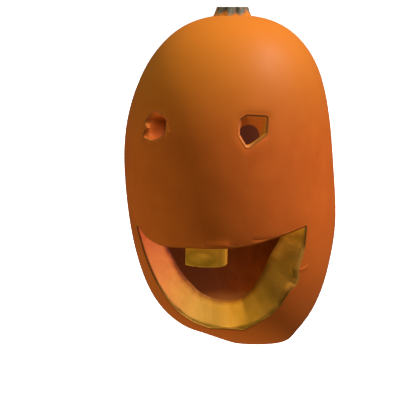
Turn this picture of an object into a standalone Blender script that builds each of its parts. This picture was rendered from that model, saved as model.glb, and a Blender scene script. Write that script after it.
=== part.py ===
"""A tall pumpkin lantern, hollowed and carved by hand: two small eyes, a wide grin and one tooth.

The pumpkin stands on a flat spot at the origin, +Z up, and its face looks along -Y.
Sizes are in metres and angles in degrees. Heights are measured from the table.
An angle round the pumpkin starts at the middle of the face and grows towards +X.
"""
import math

import bpy
from mathutils import Vector

# The body: a fuller-than-oval form, a little narrower at its crown than in its belly
WIDEST_RADIUS = 0.115
WIDEST_HEIGHT = 0.177
CROWN_RISE = 0.182
BOTTOM_DROP = 0.183
CROWN_FULLNESS = 2.5
BOTTOM_FULLNESS = 2.35

# It grew crooked: the upper half bows to one side and the blossom end hooks back and to the other
BOW = 0.007
BOW_HEIGHT = 0.225
BOW_SPREAD = 0.062
BOW_TOWARDS = 286.0
LEAN = 0.002
HOOK = 0.034
HOOK_POWER = 9.0
HOOK_TOWARDS = 135.0

# The stub of stem left on the crown, with the ribs that run down it
STEM_TOP_HEIGHT = 0.368
STEM_TOP_RADIUS = 0.0166
STEM_FOOT_RADIUS = 0.0198
STEM_FLARE_RADIUS = 0.0240
STEM_OFFSET = 0.0018
STEM_TOWARDS = 286.0
STEM_RIBS = 8
STEM_RIB_DEPTH = 0.0011
# Each ring of the stub: a share of its height, a share of the way from its foot's radius to its top's,
# and a share of the ribs' depth. The last ring rounds the edge of the cut face over.
STEM_RINGS = [
    (0.03, -0.29, 0.6),
    (0.22, 0.26, 1.0),
    (0.60, 0.74, 1.0),
    (0.93, 1.00, 1.0),
    (1.00, 1.26, 0.9),
]

# The scooped hollow, with the flat ends that close its poles
WALL = 0.032
HOLLOW_END_RADIUS = 0.012

# The grin, as angles and heights. The lower cut runs from the right corner, under, to the left one,
# in the knife facets that show there, and the lip runs back over the tooth
MOUTH_UNDER = [
    (60.0, 0.1370),
    (58.8, 0.1140),
    (57.2, 0.1010),
    (55.6, 0.0900),
    (58.0, 0.0810),
    (56.6, 0.0730),
    (51.5, 0.0660),
    (47.0, 0.0510),
    (40.5, 0.0405),
    (30.0, 0.0320),
    (18.0, 0.0240),
    (4.0, 0.0265),
    (-12.0, 0.0245),
    (-23.0, 0.0300),
    (-32.0, 0.0410),
    (-38.0, 0.0600),
    (-42.5, 0.0790),
    (-46.5, 0.1030),
    (-48.5, 0.1180),
    (-50.5, 0.1335),
]
MOUTH_LIP = [
    (-50.5, 0.1335),
    (-46.7, 0.1298),
    (-43.0, 0.1253),
    (-40.4, 0.1223),
    (-36.0, 0.1191),
    (-31.9, 0.1172),
    (-28.0, 0.1156),
    (-22.0, 0.1150),
    (-10.0, 0.1154),
    (4.0, 0.1158),
    (13.5, 0.1163),
    (22.5, 0.1185),
    (31.8, 0.1225),
    (37.4, 0.1255),
    (44.1, 0.1290),
    (51.2, 0.1328),
    (60.0, 0.1370),
]
HOLLOW_UNDER = [
    (57.0, 0.1350),
    (54.0, 0.1200),
    (48.0, 0.1040),
    (44.5, 0.0860),
    (40.0, 0.0740),
    (33.0, 0.0610),
    (22.0, 0.0520),
    (8.0, 0.0490),
    (-8.0, 0.0510),
    (-21.0, 0.0570),
    (-33.0, 0.0690),
    (-43.0, 0.0860),
    (-50.0, 0.1060),
    (-54.0, 0.1310),
]
HOLLOW_LIP = [
    (-54.0, 0.1310),
    (-36.0, 0.1235),
    (-18.0, 0.1170),
    (0.0, 0.1155),
    (18.0, 0.1165),
    (36.0, 0.1230),
    (57.0, 0.1350),
]
MOUTH_LONGEST_STEP = 0.040

# The one tooth, left standing from the upper lip with its rind pared off
TOOTH_LEFT = -13.8
TOOTH_RIGHT = 11.8
TOOTH_TOP = 0.1220
TOOTH_TIP = 0.0955
TOOTH_CROWNING = 0.0016
TOOTH_FRONT_DEPTH = 0.0035
TOOTH_THICKNESS = 0.021
TOOTH_COLUMNS = 6
TOOTH_BEVEL = 0.0012

# The eyes: knife-cut outlines in the rind, clockwise, that narrow to round holes in the hollow
RIGHT_EYE = [
    (21.4, 0.2350),
    (21.8, 0.2520),
    (25.8, 0.2562),
    (38.6, 0.2545),
    (37.6, 0.2360),
    (26.6, 0.2215),
]
RIGHT_EYE_HOLE = (31.8, 0.2330)
LEFT_EYE = [
    (-37.2, 0.2445),
    (-36.6, 0.2495),
    (-34.2, 0.2548),
    (-31.0, 0.2575),
    (-27.6, 0.2566),
    (-26.2, 0.2534),
    (-23.0, 0.2550),
    (-20.4, 0.2500),
    (-19.8, 0.2395),
    (-21.4, 0.2330),
    (-25.5, 0.2285),
    (-30.5, 0.2252),
    (-37.2, 0.2300),
    (-36.8, 0.2358),
    (-33.4, 0.2395),
]
LEFT_EYE_HOLE = (-30.5, 0.2375)
EYE_HOLE_RADIUS = 0.0118
EYE_LONGEST_STEP = 0.050

# How far the knife runs past each face of the wall, as a share of the wall, and where its block ends
KNIFE_OVERRUN = 0.12
MOUTH_BLOCK_FRONT = 0.170
MOUTH_BLOCK_BACK = 0.020
EYE_BLOCK_FRONT = 0.140
EYE_BLOCK_BACK = 0.055

# Mesh densities
BODY_SIDES = 64
BODY_RINGS = 17
HOLLOW_SIDES = 40
HOLLOW_RINGS = 10


def clear_scene():
    """Removes what the scene starts with."""
    for thing in list(bpy.data.objects):
        bpy.data.objects.remove(thing, do_unlink=True)


def make_material(name, colour, roughness):
    """A Principled material with one colour and roughness."""
    material = bpy.data.materials.new(name)
    material.use_nodes = True
    shader = material.node_tree.nodes["Principled BSDF"]
    shader.inputs["Base Color"].default_value = (*colour, 1.0)
    shader.inputs["Roughness"].default_value = roughness
    shader.inputs["Metallic"].default_value = 0.0
    return material


def towards(angle):
    """The level unit vector that points out of the pumpkin at an angle from the middle of the face."""
    turn = math.radians(angle)
    return Vector((math.sin(turn), -math.cos(turn), 0.0))


def centre_at(height):
    """Where the crooked middle line of the pumpkin passes at a height."""
    bow = BOW * math.exp(-0.5 * ((height - BOW_HEIGHT) / BOW_SPREAD) ** 2)
    drop = max(0.0, WIDEST_HEIGHT - height) / BOTTOM_DROP
    hook = LEAN * drop + HOOK * drop ** HOOK_POWER
    return towards(BOW_TOWARDS) * bow + towards(HOOK_TOWARDS) * hook + Vector((0.0, 0.0, height))


def reach_and_fullness(above, inset):
    """How far the form reaches above or below its widest ring, and how full it is there."""
    if above:
        return CROWN_RISE - inset, CROWN_FULLNESS
    return BOTTOM_DROP - inset, BOTTOM_FULLNESS


def radius_at(height, inset=0.0):
    """The radius of the body at a height, or of the hollow when it is set in by the wall."""
    reach, fullness = reach_and_fullness(height > WIDEST_HEIGHT, inset)
    share = min(abs(height - WIDEST_HEIGHT) / reach, 1.0)
    return (WIDEST_RADIUS - inset) * (1.0 - share ** fullness) ** (1.0 / fullness)


def on_form(angle, height, inset=0.0):
    """The point of the body's surface, or of the hollow's, at an angle and a height."""
    return centre_at(height) + towards(angle) * radius_at(height, inset)


def ring_heights(above, inset, radius_left, count):
    """Heights of rings spread evenly round the profile, out to where a radius is left.

    They run from just off the widest ring to the last one, which has that radius.
    """
    reach, fullness = reach_and_fullness(above, inset)
    share_left = radius_left / (WIDEST_RADIUS - inset)
    last_turn = math.acos(share_left ** (fullness / 2.0))
    turns = [last_turn * step / count for step in range(1, count + 1)]
    sign = 1.0 if above else -1.0
    return [WIDEST_HEIGHT + sign * reach * math.sin(turn) ** (2.0 / fullness) for turn in turns]


def round_ring(height, radius, sides):
    """A level ring of points round the middle line."""
    return [centre_at(height) + towards(360.0 * side / sides) * radius for side in range(sides)]


def stem_ring(height, radius, sides, rib_depth):
    """A level ribbed ring of the stem, which stands a little to one side of the crown's middle."""
    middle = centre_at(height) + towards(STEM_TOWARDS) * STEM_OFFSET
    points = []
    for side in range(sides):
        angle = 360.0 * side / sides
        rib = rib_depth * math.cos(math.radians(angle * STEM_RIBS))
        points.append(middle + towards(angle) * (radius + rib))
    return points


def loft(name, loops, materials, smooth, material_of_band=None):
    """A closed object skinned over loops of points, with a flat face on the first and the last."""
    sides = len(loops[0])
    points = [point for loop in loops for point in loop]
    faces = [list(range(sides))[::-1]]
    bands = [0]
    for band in range(len(loops) - 1):
        for side in range(sides):
            following = (side + 1) % sides
            low, high = band * sides, (band + 1) * sides
            faces.append([low + side, low + following, high + following, high + side])
            bands.append(band)
    faces.append([(len(loops) - 1) * sides + side for side in range(sides)])
    bands.append(len(loops) - 2)
    mesh = bpy.data.meshes.new(name)
    mesh.from_pydata(points, [], faces)
    for material in materials:
        mesh.materials.append(material)
    for polygon, band in zip(mesh.polygons, bands):
        polygon.use_smooth = smooth
        if material_of_band is not None:
            polygon.material_index = material_of_band(band)
    if smooth:
        mesh.set_sharp_from_angle(angle=math.radians(35.0))
    thing = bpy.data.objects.new(name, mesh)
    bpy.context.scene.collection.objects.link(thing)
    return thing


def make_body(rind, stem):
    """The uncut pumpkin, from the flat spot that it stands on to the cut face of its stem."""
    flat_radius = radius_at(0.0)
    loops = []
    for height in reversed(ring_heights(False, 0.0, flat_radius, BODY_RINGS)):
        loops.append(round_ring(height, radius_at(height), BODY_SIDES))
    loops.append(round_ring(WIDEST_HEIGHT, WIDEST_RADIUS, BODY_SIDES))
    for height in ring_heights(True, 0.0, STEM_FLARE_RADIUS, BODY_RINGS):
        loops.append(round_ring(height, radius_at(height), BODY_SIDES))
    first_stem_band = len(loops) - 1

    crown_height = WIDEST_HEIGHT + CROWN_RISE
    stem_rise = STEM_TOP_HEIGHT - crown_height
    stem_taper = STEM_FOOT_RADIUS - STEM_TOP_RADIUS
    for height_share, taper_share, rib_share in STEM_RINGS:
        height = crown_height + stem_rise * height_share
        radius = STEM_FOOT_RADIUS - stem_taper * taper_share
        loops.append(stem_ring(height, radius, BODY_SIDES, STEM_RIB_DEPTH * rib_share))
    return loft(
        "carved_pumpkin",
        loops,
        [rind, stem],
        smooth=True,
        material_of_band=lambda band: int(band >= first_stem_band),
    )


def make_hollow(flesh):
    """The scooped inside, which follows the outside at the thickness of the wall."""
    loops = []
    for height in reversed(ring_heights(False, WALL, HOLLOW_END_RADIUS, HOLLOW_RINGS)):
        loops.append(round_ring(height, radius_at(height, WALL), HOLLOW_SIDES))
    loops.append(round_ring(WIDEST_HEIGHT, WIDEST_RADIUS - WALL, HOLLOW_SIDES))
    for height in ring_heights(True, WALL, HOLLOW_END_RADIUS, HOLLOW_RINGS):
        loops.append(round_ring(height, radius_at(height, WALL), HOLLOW_SIDES))
    return loft("hollow", loops, [flesh], smooth=True)


def piece_lengths(corners):
    """The lengths of the straight stretches between corners."""
    return [math.dist(a, b) for a, b in zip(corners, corners[1:])]


def cut_shares(corners, longest_step):
    """Shares of the way along a line: at each corner, and evenly between corners that lie far apart.

    The far end is left out, because the next line starts there.
    """
    lengths = piece_lengths(corners)
    total = sum(lengths)
    shares = []
    done = 0.0
    for length in lengths:
        count = max(1, math.ceil(length / total / longest_step))
        shares += [(done + length * step / count) / total for step in range(count)]
        done += length
    return shares


def at_share(corners, share):
    """The point at a share of the way along the straight stretches between corners."""
    lengths = piece_lengths(corners)
    left = sum(lengths) * share
    index = 0
    while index < len(lengths) - 1 and left > lengths[index]:
        left -= lengths[index]
        index += 1
    return corners[index].lerp(corners[index + 1], min(left / lengths[index], 1.0))


def on_rind(outline):
    """The points of an outline of angles and heights on the body's surface."""
    return [on_form(angle, height) for angle, height in outline]


def on_hollow(outline):
    """The points of an outline of angles and heights on the hollow's surface."""
    return [on_form(angle, height, WALL) for angle, height in outline]


def knife_cut(name, outer, inner, direction, front, back, flesh):
    """The block that a knife takes out between an outline in the rind and one in the hollow.

    It runs a little past both faces of the wall, then straight on to two flat ends.
    """
    before = [a.lerp(b, -KNIFE_OVERRUN) for a, b in zip(outer, inner)]
    beyond = [a.lerp(b, 1.0 + KNIFE_OVERRUN) for a, b in zip(outer, inner)]
    start = [point + direction * (front - point.dot(direction)) for point in before]
    end = [point + direction * (back - point.dot(direction)) for point in beyond]
    return loft(name, [start, before, beyond, end], [flesh], smooth=False)


def make_mouth_cut(flesh):
    """The knife cut of the grin."""
    outer = []
    inner = []
    for rind_line, hollow_line in ((MOUTH_UNDER, HOLLOW_UNDER), (MOUTH_LIP, HOLLOW_LIP)):
        rind_corners = on_rind(rind_line)
        hollow_corners = on_hollow(hollow_line)
        for share in cut_shares(rind_corners, MOUTH_LONGEST_STEP):
            outer.append(at_share(rind_corners, share))
            inner.append(at_share(hollow_corners, share))
    return knife_cut("mouth_cut", outer, inner, towards(0.0), MOUTH_BLOCK_FRONT, MOUTH_BLOCK_BACK, flesh)


def make_eye_cut(name, outline, hole, flesh):
    """The knife cut of one eye, from its outline in the rind to its round hole in the hollow."""
    corners = on_rind(outline + outline[:1])
    hole_angle, hole_height = hole
    middle = on_form(hole_angle, hole_height, WALL)
    out = towards(hole_angle)
    across = towards(hole_angle + 90.0)
    up = Vector((0.0, 0.0, 1.0))
    arm = corners[0] - middle
    first_turn = math.atan2(arm.dot(up), arm.dot(across))
    outer = []
    inner = []
    for share in cut_shares(corners, EYE_LONGEST_STEP):
        turn = first_turn - 2.0 * math.pi * share
        outer.append(at_share(corners, share))
        inner.append(middle + (across * math.cos(turn) + up * math.sin(turn)) * EYE_HOLE_RADIUS)
    return knife_cut(name, outer, inner, out, EYE_BLOCK_FRONT, EYE_BLOCK_BACK, flesh)


def make_tooth(flesh):
    """The tooth: a squared block under the lip, a little rounder at its tip."""
    loops = []
    for level in (0.0, 0.5, 1.0):
        loop = []
        for depth, order in ((TOOTH_FRONT_DEPTH, 1), (TOOTH_FRONT_DEPTH + TOOTH_THICKNESS, -1)):
            for step in range(TOOTH_COLUMNS + 1)[::order]:
                share = step / TOOTH_COLUMNS
                angle = TOOTH_LEFT + (TOOTH_RIGHT - TOOTH_LEFT) * share
                tip = TOOTH_TIP + TOOTH_CROWNING * (2.0 * share - 1.0) ** 2
                height = tip + (TOOTH_TOP - tip) * level
                radius = radius_at(TOOTH_TIP) - depth
                loop.append(Vector((0.0, 0.0, height)) + towards(angle) * radius)
        loops.append(loop)
    tooth = loft("tooth_block", loops, [flesh], smooth=False)
    rounding = tooth.modifiers.new("rounding", "BEVEL")
    rounding.width = TOOTH_BEVEL
    rounding.segments = 1
    rounding.angle_limit = math.radians(50.0)
    return tooth


def combine(body, helper, operation):
    """Cuts a helper out of the body, or joins it on, and keeps the helper as a wire guide."""
    boolean = body.modifiers.new(helper.name, "BOOLEAN")
    boolean.operation = operation
    boolean.solver = "EXACT"
    boolean.material_mode = "TRANSFER"
    boolean.object = helper
    helper.hide_render = True
    helper.display_type = "WIRE"


def build():
    """Makes the carved pumpkin as one solid."""
    clear_scene()
    rind = make_material("pumpkin_rind", (0.70, 0.20, 0.02), 0.45)
    stem = make_material("dry_stem", (0.19, 0.16, 0.12), 0.85)
    cut_flesh = make_material("cut_flesh", (0.75, 0.42, 0.07), 0.60)
    hollow_flesh = make_material("scooped_flesh", (0.45, 0.16, 0.03), 0.70)
    body = make_body(rind, stem)
    combine(body, make_hollow(hollow_flesh), "DIFFERENCE")
    combine(body, make_mouth_cut(cut_flesh), "DIFFERENCE")
    combine(body, make_eye_cut("right_eye_cut", RIGHT_EYE, RIGHT_EYE_HOLE, cut_flesh), "DIFFERENCE")
    combine(body, make_eye_cut("left_eye_cut", LEFT_EYE, LEFT_EYE_HOLE, cut_flesh), "DIFFERENCE")
    combine(body, make_tooth(cut_flesh), "UNION")


build()
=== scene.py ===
"""The look of a tall pumpkin lantern, carved by hand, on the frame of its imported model.

The pumpkin is drawn on a flat chart first. A point of the chart has an angle round the pumpkin, a depth
below the rind and a height above the table. Geometry Nodes then lift the chart onto the crooked form,
weld it into one skin and cut the relief of knife and spoon into it.

Sizes are in metres. Angles are in degrees from the middle of the face and grow towards +X.
"""
from __future__ import annotations

import logging
import math
import sys
from dataclasses import dataclass, field
from enum import Enum

import bmesh
import bpy
import numpy as np
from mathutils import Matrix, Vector, geometry

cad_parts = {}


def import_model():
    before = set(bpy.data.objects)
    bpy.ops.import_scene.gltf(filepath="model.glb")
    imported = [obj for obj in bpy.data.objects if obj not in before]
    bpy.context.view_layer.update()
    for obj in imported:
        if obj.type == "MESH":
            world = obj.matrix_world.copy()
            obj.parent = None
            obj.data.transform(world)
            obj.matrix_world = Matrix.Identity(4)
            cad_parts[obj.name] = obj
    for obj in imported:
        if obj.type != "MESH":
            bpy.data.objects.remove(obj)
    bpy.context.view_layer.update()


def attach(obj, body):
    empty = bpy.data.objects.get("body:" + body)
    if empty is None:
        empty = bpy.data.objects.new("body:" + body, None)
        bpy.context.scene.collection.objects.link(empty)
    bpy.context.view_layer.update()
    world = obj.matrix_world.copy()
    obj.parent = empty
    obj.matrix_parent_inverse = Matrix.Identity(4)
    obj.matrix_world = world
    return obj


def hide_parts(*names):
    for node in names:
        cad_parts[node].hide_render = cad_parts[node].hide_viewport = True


log = logging.getLogger("lantern")

NODE = "carved_pumpkin"
BODY = "root"
WELD = 0.00002

# The types of node that come up most
MATH = "ShaderNodeMath"
VECTOR_MATH = "ShaderNodeVectorMath"
SPLIT = "ShaderNodeSeparateXYZ"
JOIN = "ShaderNodeCombineXYZ"
NOISE = "ShaderNodeTexNoise"
RANGE = "ShaderNodeMapRange"
RAMP = "ShaderNodeValToRGB"

# A Mix node for colours: the numbers of its inputs, its result and its setting
MIX = "ShaderNodeMix"
SHARE, FIRST, SECOND = 0, 6, 7
IN_COLOUR = {"out": 2, "data_type": "RGBA"}

Tree = bpy.types.NodeTree
Socket = bpy.types.NodeSocket
Colour = tuple[float, float, float, float]
Stops = tuple[tuple[float, str], ...]
Line = tuple[tuple[float, float], ...]
Span = tuple[float, float]


class Layer(Enum):
    """What a face of the pumpkin shows."""

    RIND = 0
    MOUTH_FLESH = 1
    EYE_FLESH = 2
    HOLLOW = 3


class Slot(Enum):
    """The record's material slots."""

    RIND = "rind"
    FLESH = "cut_flesh"
    STEM = "dry_stem"


def linear(hex_colour: str) -> Colour:
    """Turns an sRGB colour into a linear one.

    Args:
        hex_colour: Six hex digits, with or without a leading hash.

    Returns:
        Red, green, blue and an alpha of one.
    """
    digits = hex_colour.lstrip("#")
    channels = [int(digits[i:i + 2], 16) / 255 for i in (0, 2, 4)]
    channels = [c / 12.92 if c <= 0.04045 else ((c + 0.055) / 1.055) ** 2.4 for c in channels]
    return (*channels, 1.0)


def add(
    tree: Tree, kind: str, inputs: dict | list | tuple = (), out: int | str | None = 0, stops: Stops = (),
    **settings: object,
) -> Socket | bpy.types.Node:
    """Adds a node with its settings and links.

    Args:
        tree: The node tree that it goes into.
        kind: The node's type.
        inputs: Values or sockets, in the order of the node's inputs or keyed by input.
        out: The output that is handed back, or None for the node itself.
        stops: A ramp's stops in order, each a place and an sRGB colour.
        **settings: The node's own properties.

    Returns:
        The named output socket, or the node.
    """
    node = tree.nodes.new(kind)
    for name, value in settings.items():
        setattr(node, name, value)
    pairs = inputs.items() if isinstance(inputs, dict) else enumerate(inputs)
    for key, value in pairs:
        if isinstance(value, Socket):
            tree.links.new(value, node.inputs[key])
        elif value is not None:
            node.inputs[key].default_value = value
    for number, (place, colour) in enumerate(stops):
        elements = node.color_ramp.elements
        stop = elements[number] if number < 2 else elements.new(place)
        stop.position = place
        stop.color = linear(colour)
    return node if out is None else node.outputs[out]


def tint_between(
    tree: Tree, colour: Socket | Colour, value: Socket, span: Span, shade: Socket | Colour,
    most: float = 1.0, ease: str = "SMOOTHSTEP",
) -> Socket:
    """Lets a colour pass into another one while a value runs through a span.

    Args:
        tree: The node tree that it goes into.
        colour: The colour where the value is at the span's first end or before it.
        value: What the change follows.
        span: The two ends of the span. The first may be the larger.
        shade: The colour at the second end and past it.
        most: How much of the second colour there is in the end.
        ease: How the share grows along the span.

    Returns:
        The mixed colour.
    """
    share = add(tree, RANGE, {
        "Value": value, "From Min": span[0], "From Max": span[1], "To Max": most
    }, interpolation_type=ease)
    return add(tree, MIX, {SHARE: share, FIRST: colour, SECOND: shade}, **IN_COLOUR)


def new_material(name: str) -> tuple[Tree, bpy.types.Material]:
    """Starts a material with an empty node tree.

    Args:
        name: The material's name.

    Returns:
        Its tree and the material.
    """
    material = bpy.data.materials.new(name)
    material.use_nodes = True
    material.node_tree.nodes.clear()
    return material.node_tree, material


def new_geometry_tree(name: str, values: dict[str, float]) -> tuple[Tree, bpy.types.Node]:
    """Starts a Geometry Nodes tree with one named input for each size.

    Args:
        name: The tree's name.
        values: Each input's name and default.

    Returns:
        The tree and its input node.
    """
    tree = bpy.data.node_groups.new(name, "GeometryNodeTree")
    tree.interface.new_socket("Geometry", in_out="INPUT", socket_type="NodeSocketGeometry")
    for label, value in values.items():
        socket = tree.interface.new_socket(label, in_out="INPUT", socket_type="NodeSocketFloat")
        socket.default_value = value
    tree.interface.new_socket("Geometry", in_out="OUTPUT", socket_type="NodeSocketGeometry")
    return tree, tree.nodes.new("NodeGroupInput")


def grow(mesh: bpy.types.Mesh, name: str, tree: Tree, values: dict[str, float]) -> bpy.types.Object:
    """Runs a tree on a mesh and keeps the result as a plain mesh.

    Args:
        mesh: What the tree starts from.
        name: The piece's name.
        tree: The tree to run.
        values: The tree's inputs, by name.

    Returns:
        The piece, at the origin and without a modifier.
    """
    seed = bpy.data.objects.new(name + "_seed", mesh)
    bpy.context.scene.collection.objects.link(seed)
    modifier = seed.modifiers.new("shape", "NODES")
    modifier.node_group = tree
    for item in tree.interface.items_tree:
        if item.item_type == "SOCKET" and item.in_out == "INPUT" and item.name in values:
            modifier[item.identifier] = values[item.name]
    seed.update_tag()
    graph = bpy.context.evaluated_depsgraph_get()
    plain = bpy.data.meshes.new_from_object(seed.evaluated_get(graph), depsgraph=graph)
    bpy.data.objects.remove(seed, do_unlink=True)
    plain.name = name
    piece = bpy.data.objects.new(name, plain)
    bpy.context.scene.collection.objects.link(piece)
    for polygon in plain.polygons:
        polygon.use_smooth = True
    return piece


def close_outwards(piece: bpy.types.Object, fill: bool = False) -> None:
    """Welds a piece and turns its faces outwards.

    Args:
        piece: The piece, which keeps its place.
        fill: Whether an open end is filled as well.
    """
    shell = bmesh.new()
    shell.from_mesh(piece.data)
    bmesh.ops.remove_doubles(shell, verts=shell.verts, dist=WELD)
    if fill:
        bmesh.ops.holes_fill(shell, edges=[edge for edge in shell.edges if edge.is_boundary])
    bmesh.ops.recalc_face_normals(shell, faces=shell.faces)
    shell.to_mesh(piece.data)
    shell.free()


def report(piece: bpy.types.Object) -> None:
    """Logs a piece's name, size and number of triangles.

    Args:
        piece: The finished piece.
    """
    triangles = sum(len(polygon.vertices) - 2 for polygon in piece.data.polygons)
    sides = " x ".join(f"{side * 1000:.0f}" for side in piece.dimensions)
    log.info("%s: %d triangles, %s mm", piece.name, triangles, sides)


@dataclass(frozen=True)
class Form:
    """The pumpkin's own shape: fuller than an oval, bowed to one side and hooked at the blossom end."""

    widest_radius: float = 0.115
    widest_height: float = 0.177
    crown_rise: float = 0.182
    bottom_drop: float = 0.183
    crown_fullness: float = 2.5
    bottom_fullness: float = 2.35
    bow: float = 0.007
    bow_height: float = 0.225
    bow_spread: float = 0.062
    bow_towards: float = 286.0
    lean: float = 0.002
    hook: float = 0.034
    hook_power: float = 9.0
    hook_towards: float = 135.0
    wall: float = 0.032

    def radius_at(self, height: np.ndarray, inset: np.ndarray | float = 0.0) -> np.ndarray:
        """The radius of the body, or of a layer set in below its rind.

        Args:
            height: The heights that are asked for.
            inset: How far the layer lies below the rind.

        Returns:
            The radius at each height.
        """
        above = height > self.widest_height
        reach = np.where(above, self.crown_rise, self.bottom_drop) - inset
        fullness = np.where(above, self.crown_fullness, self.bottom_fullness)
        share = np.minimum(np.abs(height - self.widest_height) / reach, 1.0)
        return (self.widest_radius - inset) * (1.0 - share ** fullness) ** (1.0 / fullness)

    def centre_at(self, height: np.ndarray) -> np.ndarray:
        """Where the crooked middle line passes.

        Args:
            height: The heights that are asked for.

        Returns:
            Rows of x and y, one for each height.
        """
        bow = self.bow * np.exp(-0.5 * ((height - self.bow_height) / self.bow_spread) ** 2)
        drop = np.maximum(0.0, self.widest_height - height) / self.bottom_drop
        hook = self.lean * drop + self.hook * drop ** self.hook_power
        bow_way, hook_way = math.radians(self.bow_towards), math.radians(self.hook_towards)
        across = math.sin(bow_way) * bow + math.sin(hook_way) * hook
        deep = -math.cos(bow_way) * bow - math.cos(hook_way) * hook
        return np.stack([across, deep], axis=-1)

    def place(self, angle: np.ndarray, height: np.ndarray, inset: np.ndarray | float = 0.0) -> np.ndarray:
        """Places points on the form.

        Args:
            angle: Their angles in degrees.
            height: Their heights.
            inset: How far they lie below the rind.

        Returns:
            Rows of x, y and z.
        """
        turn = np.radians(angle)
        radius = self.radius_at(height, inset)
        centre = self.centre_at(height)
        return np.stack(
            [centre[..., 0] + np.sin(turn) * radius, centre[..., 1] - np.cos(turn) * radius, height],
            axis=-1,
        )

    def ring_heights(
        self, above: bool, inset: float, first: float, radius_left: float, count: int
    ) -> list[float]:
        """Heights of rings spread evenly round the profile, from one height out towards the pole.

        Args:
            above: Whether they run to the crown or to the bottom.
            inset: How far the layer lies below the rind.
            first: The height of the ring that they start from, which is left out.
            radius_left: The radius of the last ring.
            count: How many rings there are.

        Returns:
            The heights, in order towards the pole.
        """
        reach = (self.crown_rise if above else self.bottom_drop) - inset
        fullness = self.crown_fullness if above else self.bottom_fullness
        first_turn = math.asin((abs(first - self.widest_height) / reach) ** (fullness / 2.0))
        last_turn = math.acos((radius_left / (self.widest_radius - inset)) ** (fullness / 2.0))
        sign = 1.0 if above else -1.0
        turns = [first_turn + (last_turn - first_turn) * step / count for step in range(1, count + 1)]
        return [self.widest_height + sign * reach * math.sin(turn) ** (2.0 / fullness) for turn in turns]

    def inputs(self) -> dict[str, float]:
        """The sizes that the lifting tree takes.

        Returns:
            Its named inputs.
        """
        bow_way, hook_way = math.radians(self.bow_towards), math.radians(self.hook_towards)
        return {
            "Widest Radius": self.widest_radius,
            "Widest Height": self.widest_height,
            "Crown Rise": self.crown_rise,
            "Bottom Drop": self.bottom_drop,
            "Crown Fullness": self.crown_fullness,
            "Bottom Fullness": self.bottom_fullness,
            "Bow": self.bow,
            "Bow Height": self.bow_height,
            "Bow Spread": self.bow_spread,
            "Bow Across": math.sin(bow_way),
            "Bow Deep": -math.cos(bow_way),
            "Lean": self.lean,
            "Hook": self.hook,
            "Hook Power": self.hook_power,
            "Hook Across": math.sin(hook_way),
            "Hook Deep": -math.cos(hook_way),
        }

    def lifting_tree(self) -> Tree:
        """Builds the tree that lifts a chart onto the form.

        Returns:
            A group whose points come in as angle in radians, inset and height, and leave in metres.
        """
        tree, given = new_geometry_tree("lift_onto_form", self.inputs())
        size = given.outputs
        angle, inset, height = add(tree, SPLIT, [add(tree, "GeometryNodeInputPosition")], out=None).outputs
        rise = add(tree, MATH, [height, size["Widest Height"]], operation="SUBTRACT")
        above = add(tree, MATH, [rise, 0.0], operation="GREATER_THAN")
        longer = add(tree, MATH, [size["Crown Rise"], size["Bottom Drop"]], operation="SUBTRACT")
        reach = add(tree, MATH, [longer, above, size["Bottom Drop"]], operation="MULTIPLY_ADD")
        reach = add(tree, MATH, [reach, inset], operation="SUBTRACT")
        fuller = add(tree, MATH, [size["Crown Fullness"], size["Bottom Fullness"]], operation="SUBTRACT")
        fullness = add(tree, MATH, [fuller, above, size["Bottom Fullness"]], operation="MULTIPLY_ADD")
        gap = add(tree, MATH, [rise], operation="ABSOLUTE")
        share = add(tree, MATH, [gap, reach], operation="DIVIDE")
        share = add(tree, MATH, [share, 1.0], operation="MINIMUM")
        power = add(tree, MATH, [share, fullness], operation="POWER")
        left = add(tree, MATH, [1.0, power], operation="SUBTRACT")
        root = add(tree, MATH, [1.0, fullness], operation="DIVIDE")
        narrowing = add(tree, MATH, [left, root], operation="POWER")
        waist = add(tree, MATH, [size["Widest Radius"], inset], operation="SUBTRACT")
        radius = add(tree, MATH, [waist, narrowing], operation="MULTIPLY")

        bow = add(tree, MATH, [height, size["Bow Height"]], operation="SUBTRACT")
        bow = add(tree, MATH, [bow, size["Bow Spread"]], operation="DIVIDE")
        bow = add(tree, MATH, [bow, bow], operation="MULTIPLY")
        bow = add(tree, MATH, [bow, -0.5], operation="MULTIPLY")
        bow = add(tree, MATH, [bow], operation="EXPONENT")
        bow = add(tree, MATH, [bow, size["Bow"]], operation="MULTIPLY")
        drop = add(tree, MATH, [rise, -1.0], operation="MULTIPLY")
        drop = add(tree, MATH, [drop, 0.0], operation="MAXIMUM")
        drop = add(tree, MATH, [drop, size["Bottom Drop"]], operation="DIVIDE")
        hook = add(tree, MATH, [drop, size["Hook Power"]], operation="POWER")
        hook = add(tree, MATH, [hook, size["Hook"]], operation="MULTIPLY")
        hook = add(tree, MATH, [drop, size["Lean"], hook], operation="MULTIPLY_ADD")

        places = []
        for turn, sign, bow_way, hook_way in (
            ("SINE", 1.0, "Bow Across", "Hook Across"),
            ("COSINE", -1.0, "Bow Deep", "Hook Deep"),
        ):
            way = add(tree, MATH, [angle], operation=turn)
            way = add(tree, MATH, [way, sign], operation="MULTIPLY")
            shift = add(tree, MATH, [bow, size[bow_way]], operation="MULTIPLY")
            shift = add(tree, MATH, [hook, size[hook_way], shift], operation="MULTIPLY_ADD")
            places.append(add(tree, MATH, [way, radius, shift], operation="MULTIPLY_ADD"))
        lifted = add(tree, JOIN, [*places, height])
        moved = add(tree, "GeometryNodeSetPosition", {"Geometry": size["Geometry"], "Position": lifted})
        add(tree, "NodeGroupOutput", [moved], out=None)
        return tree


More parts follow.
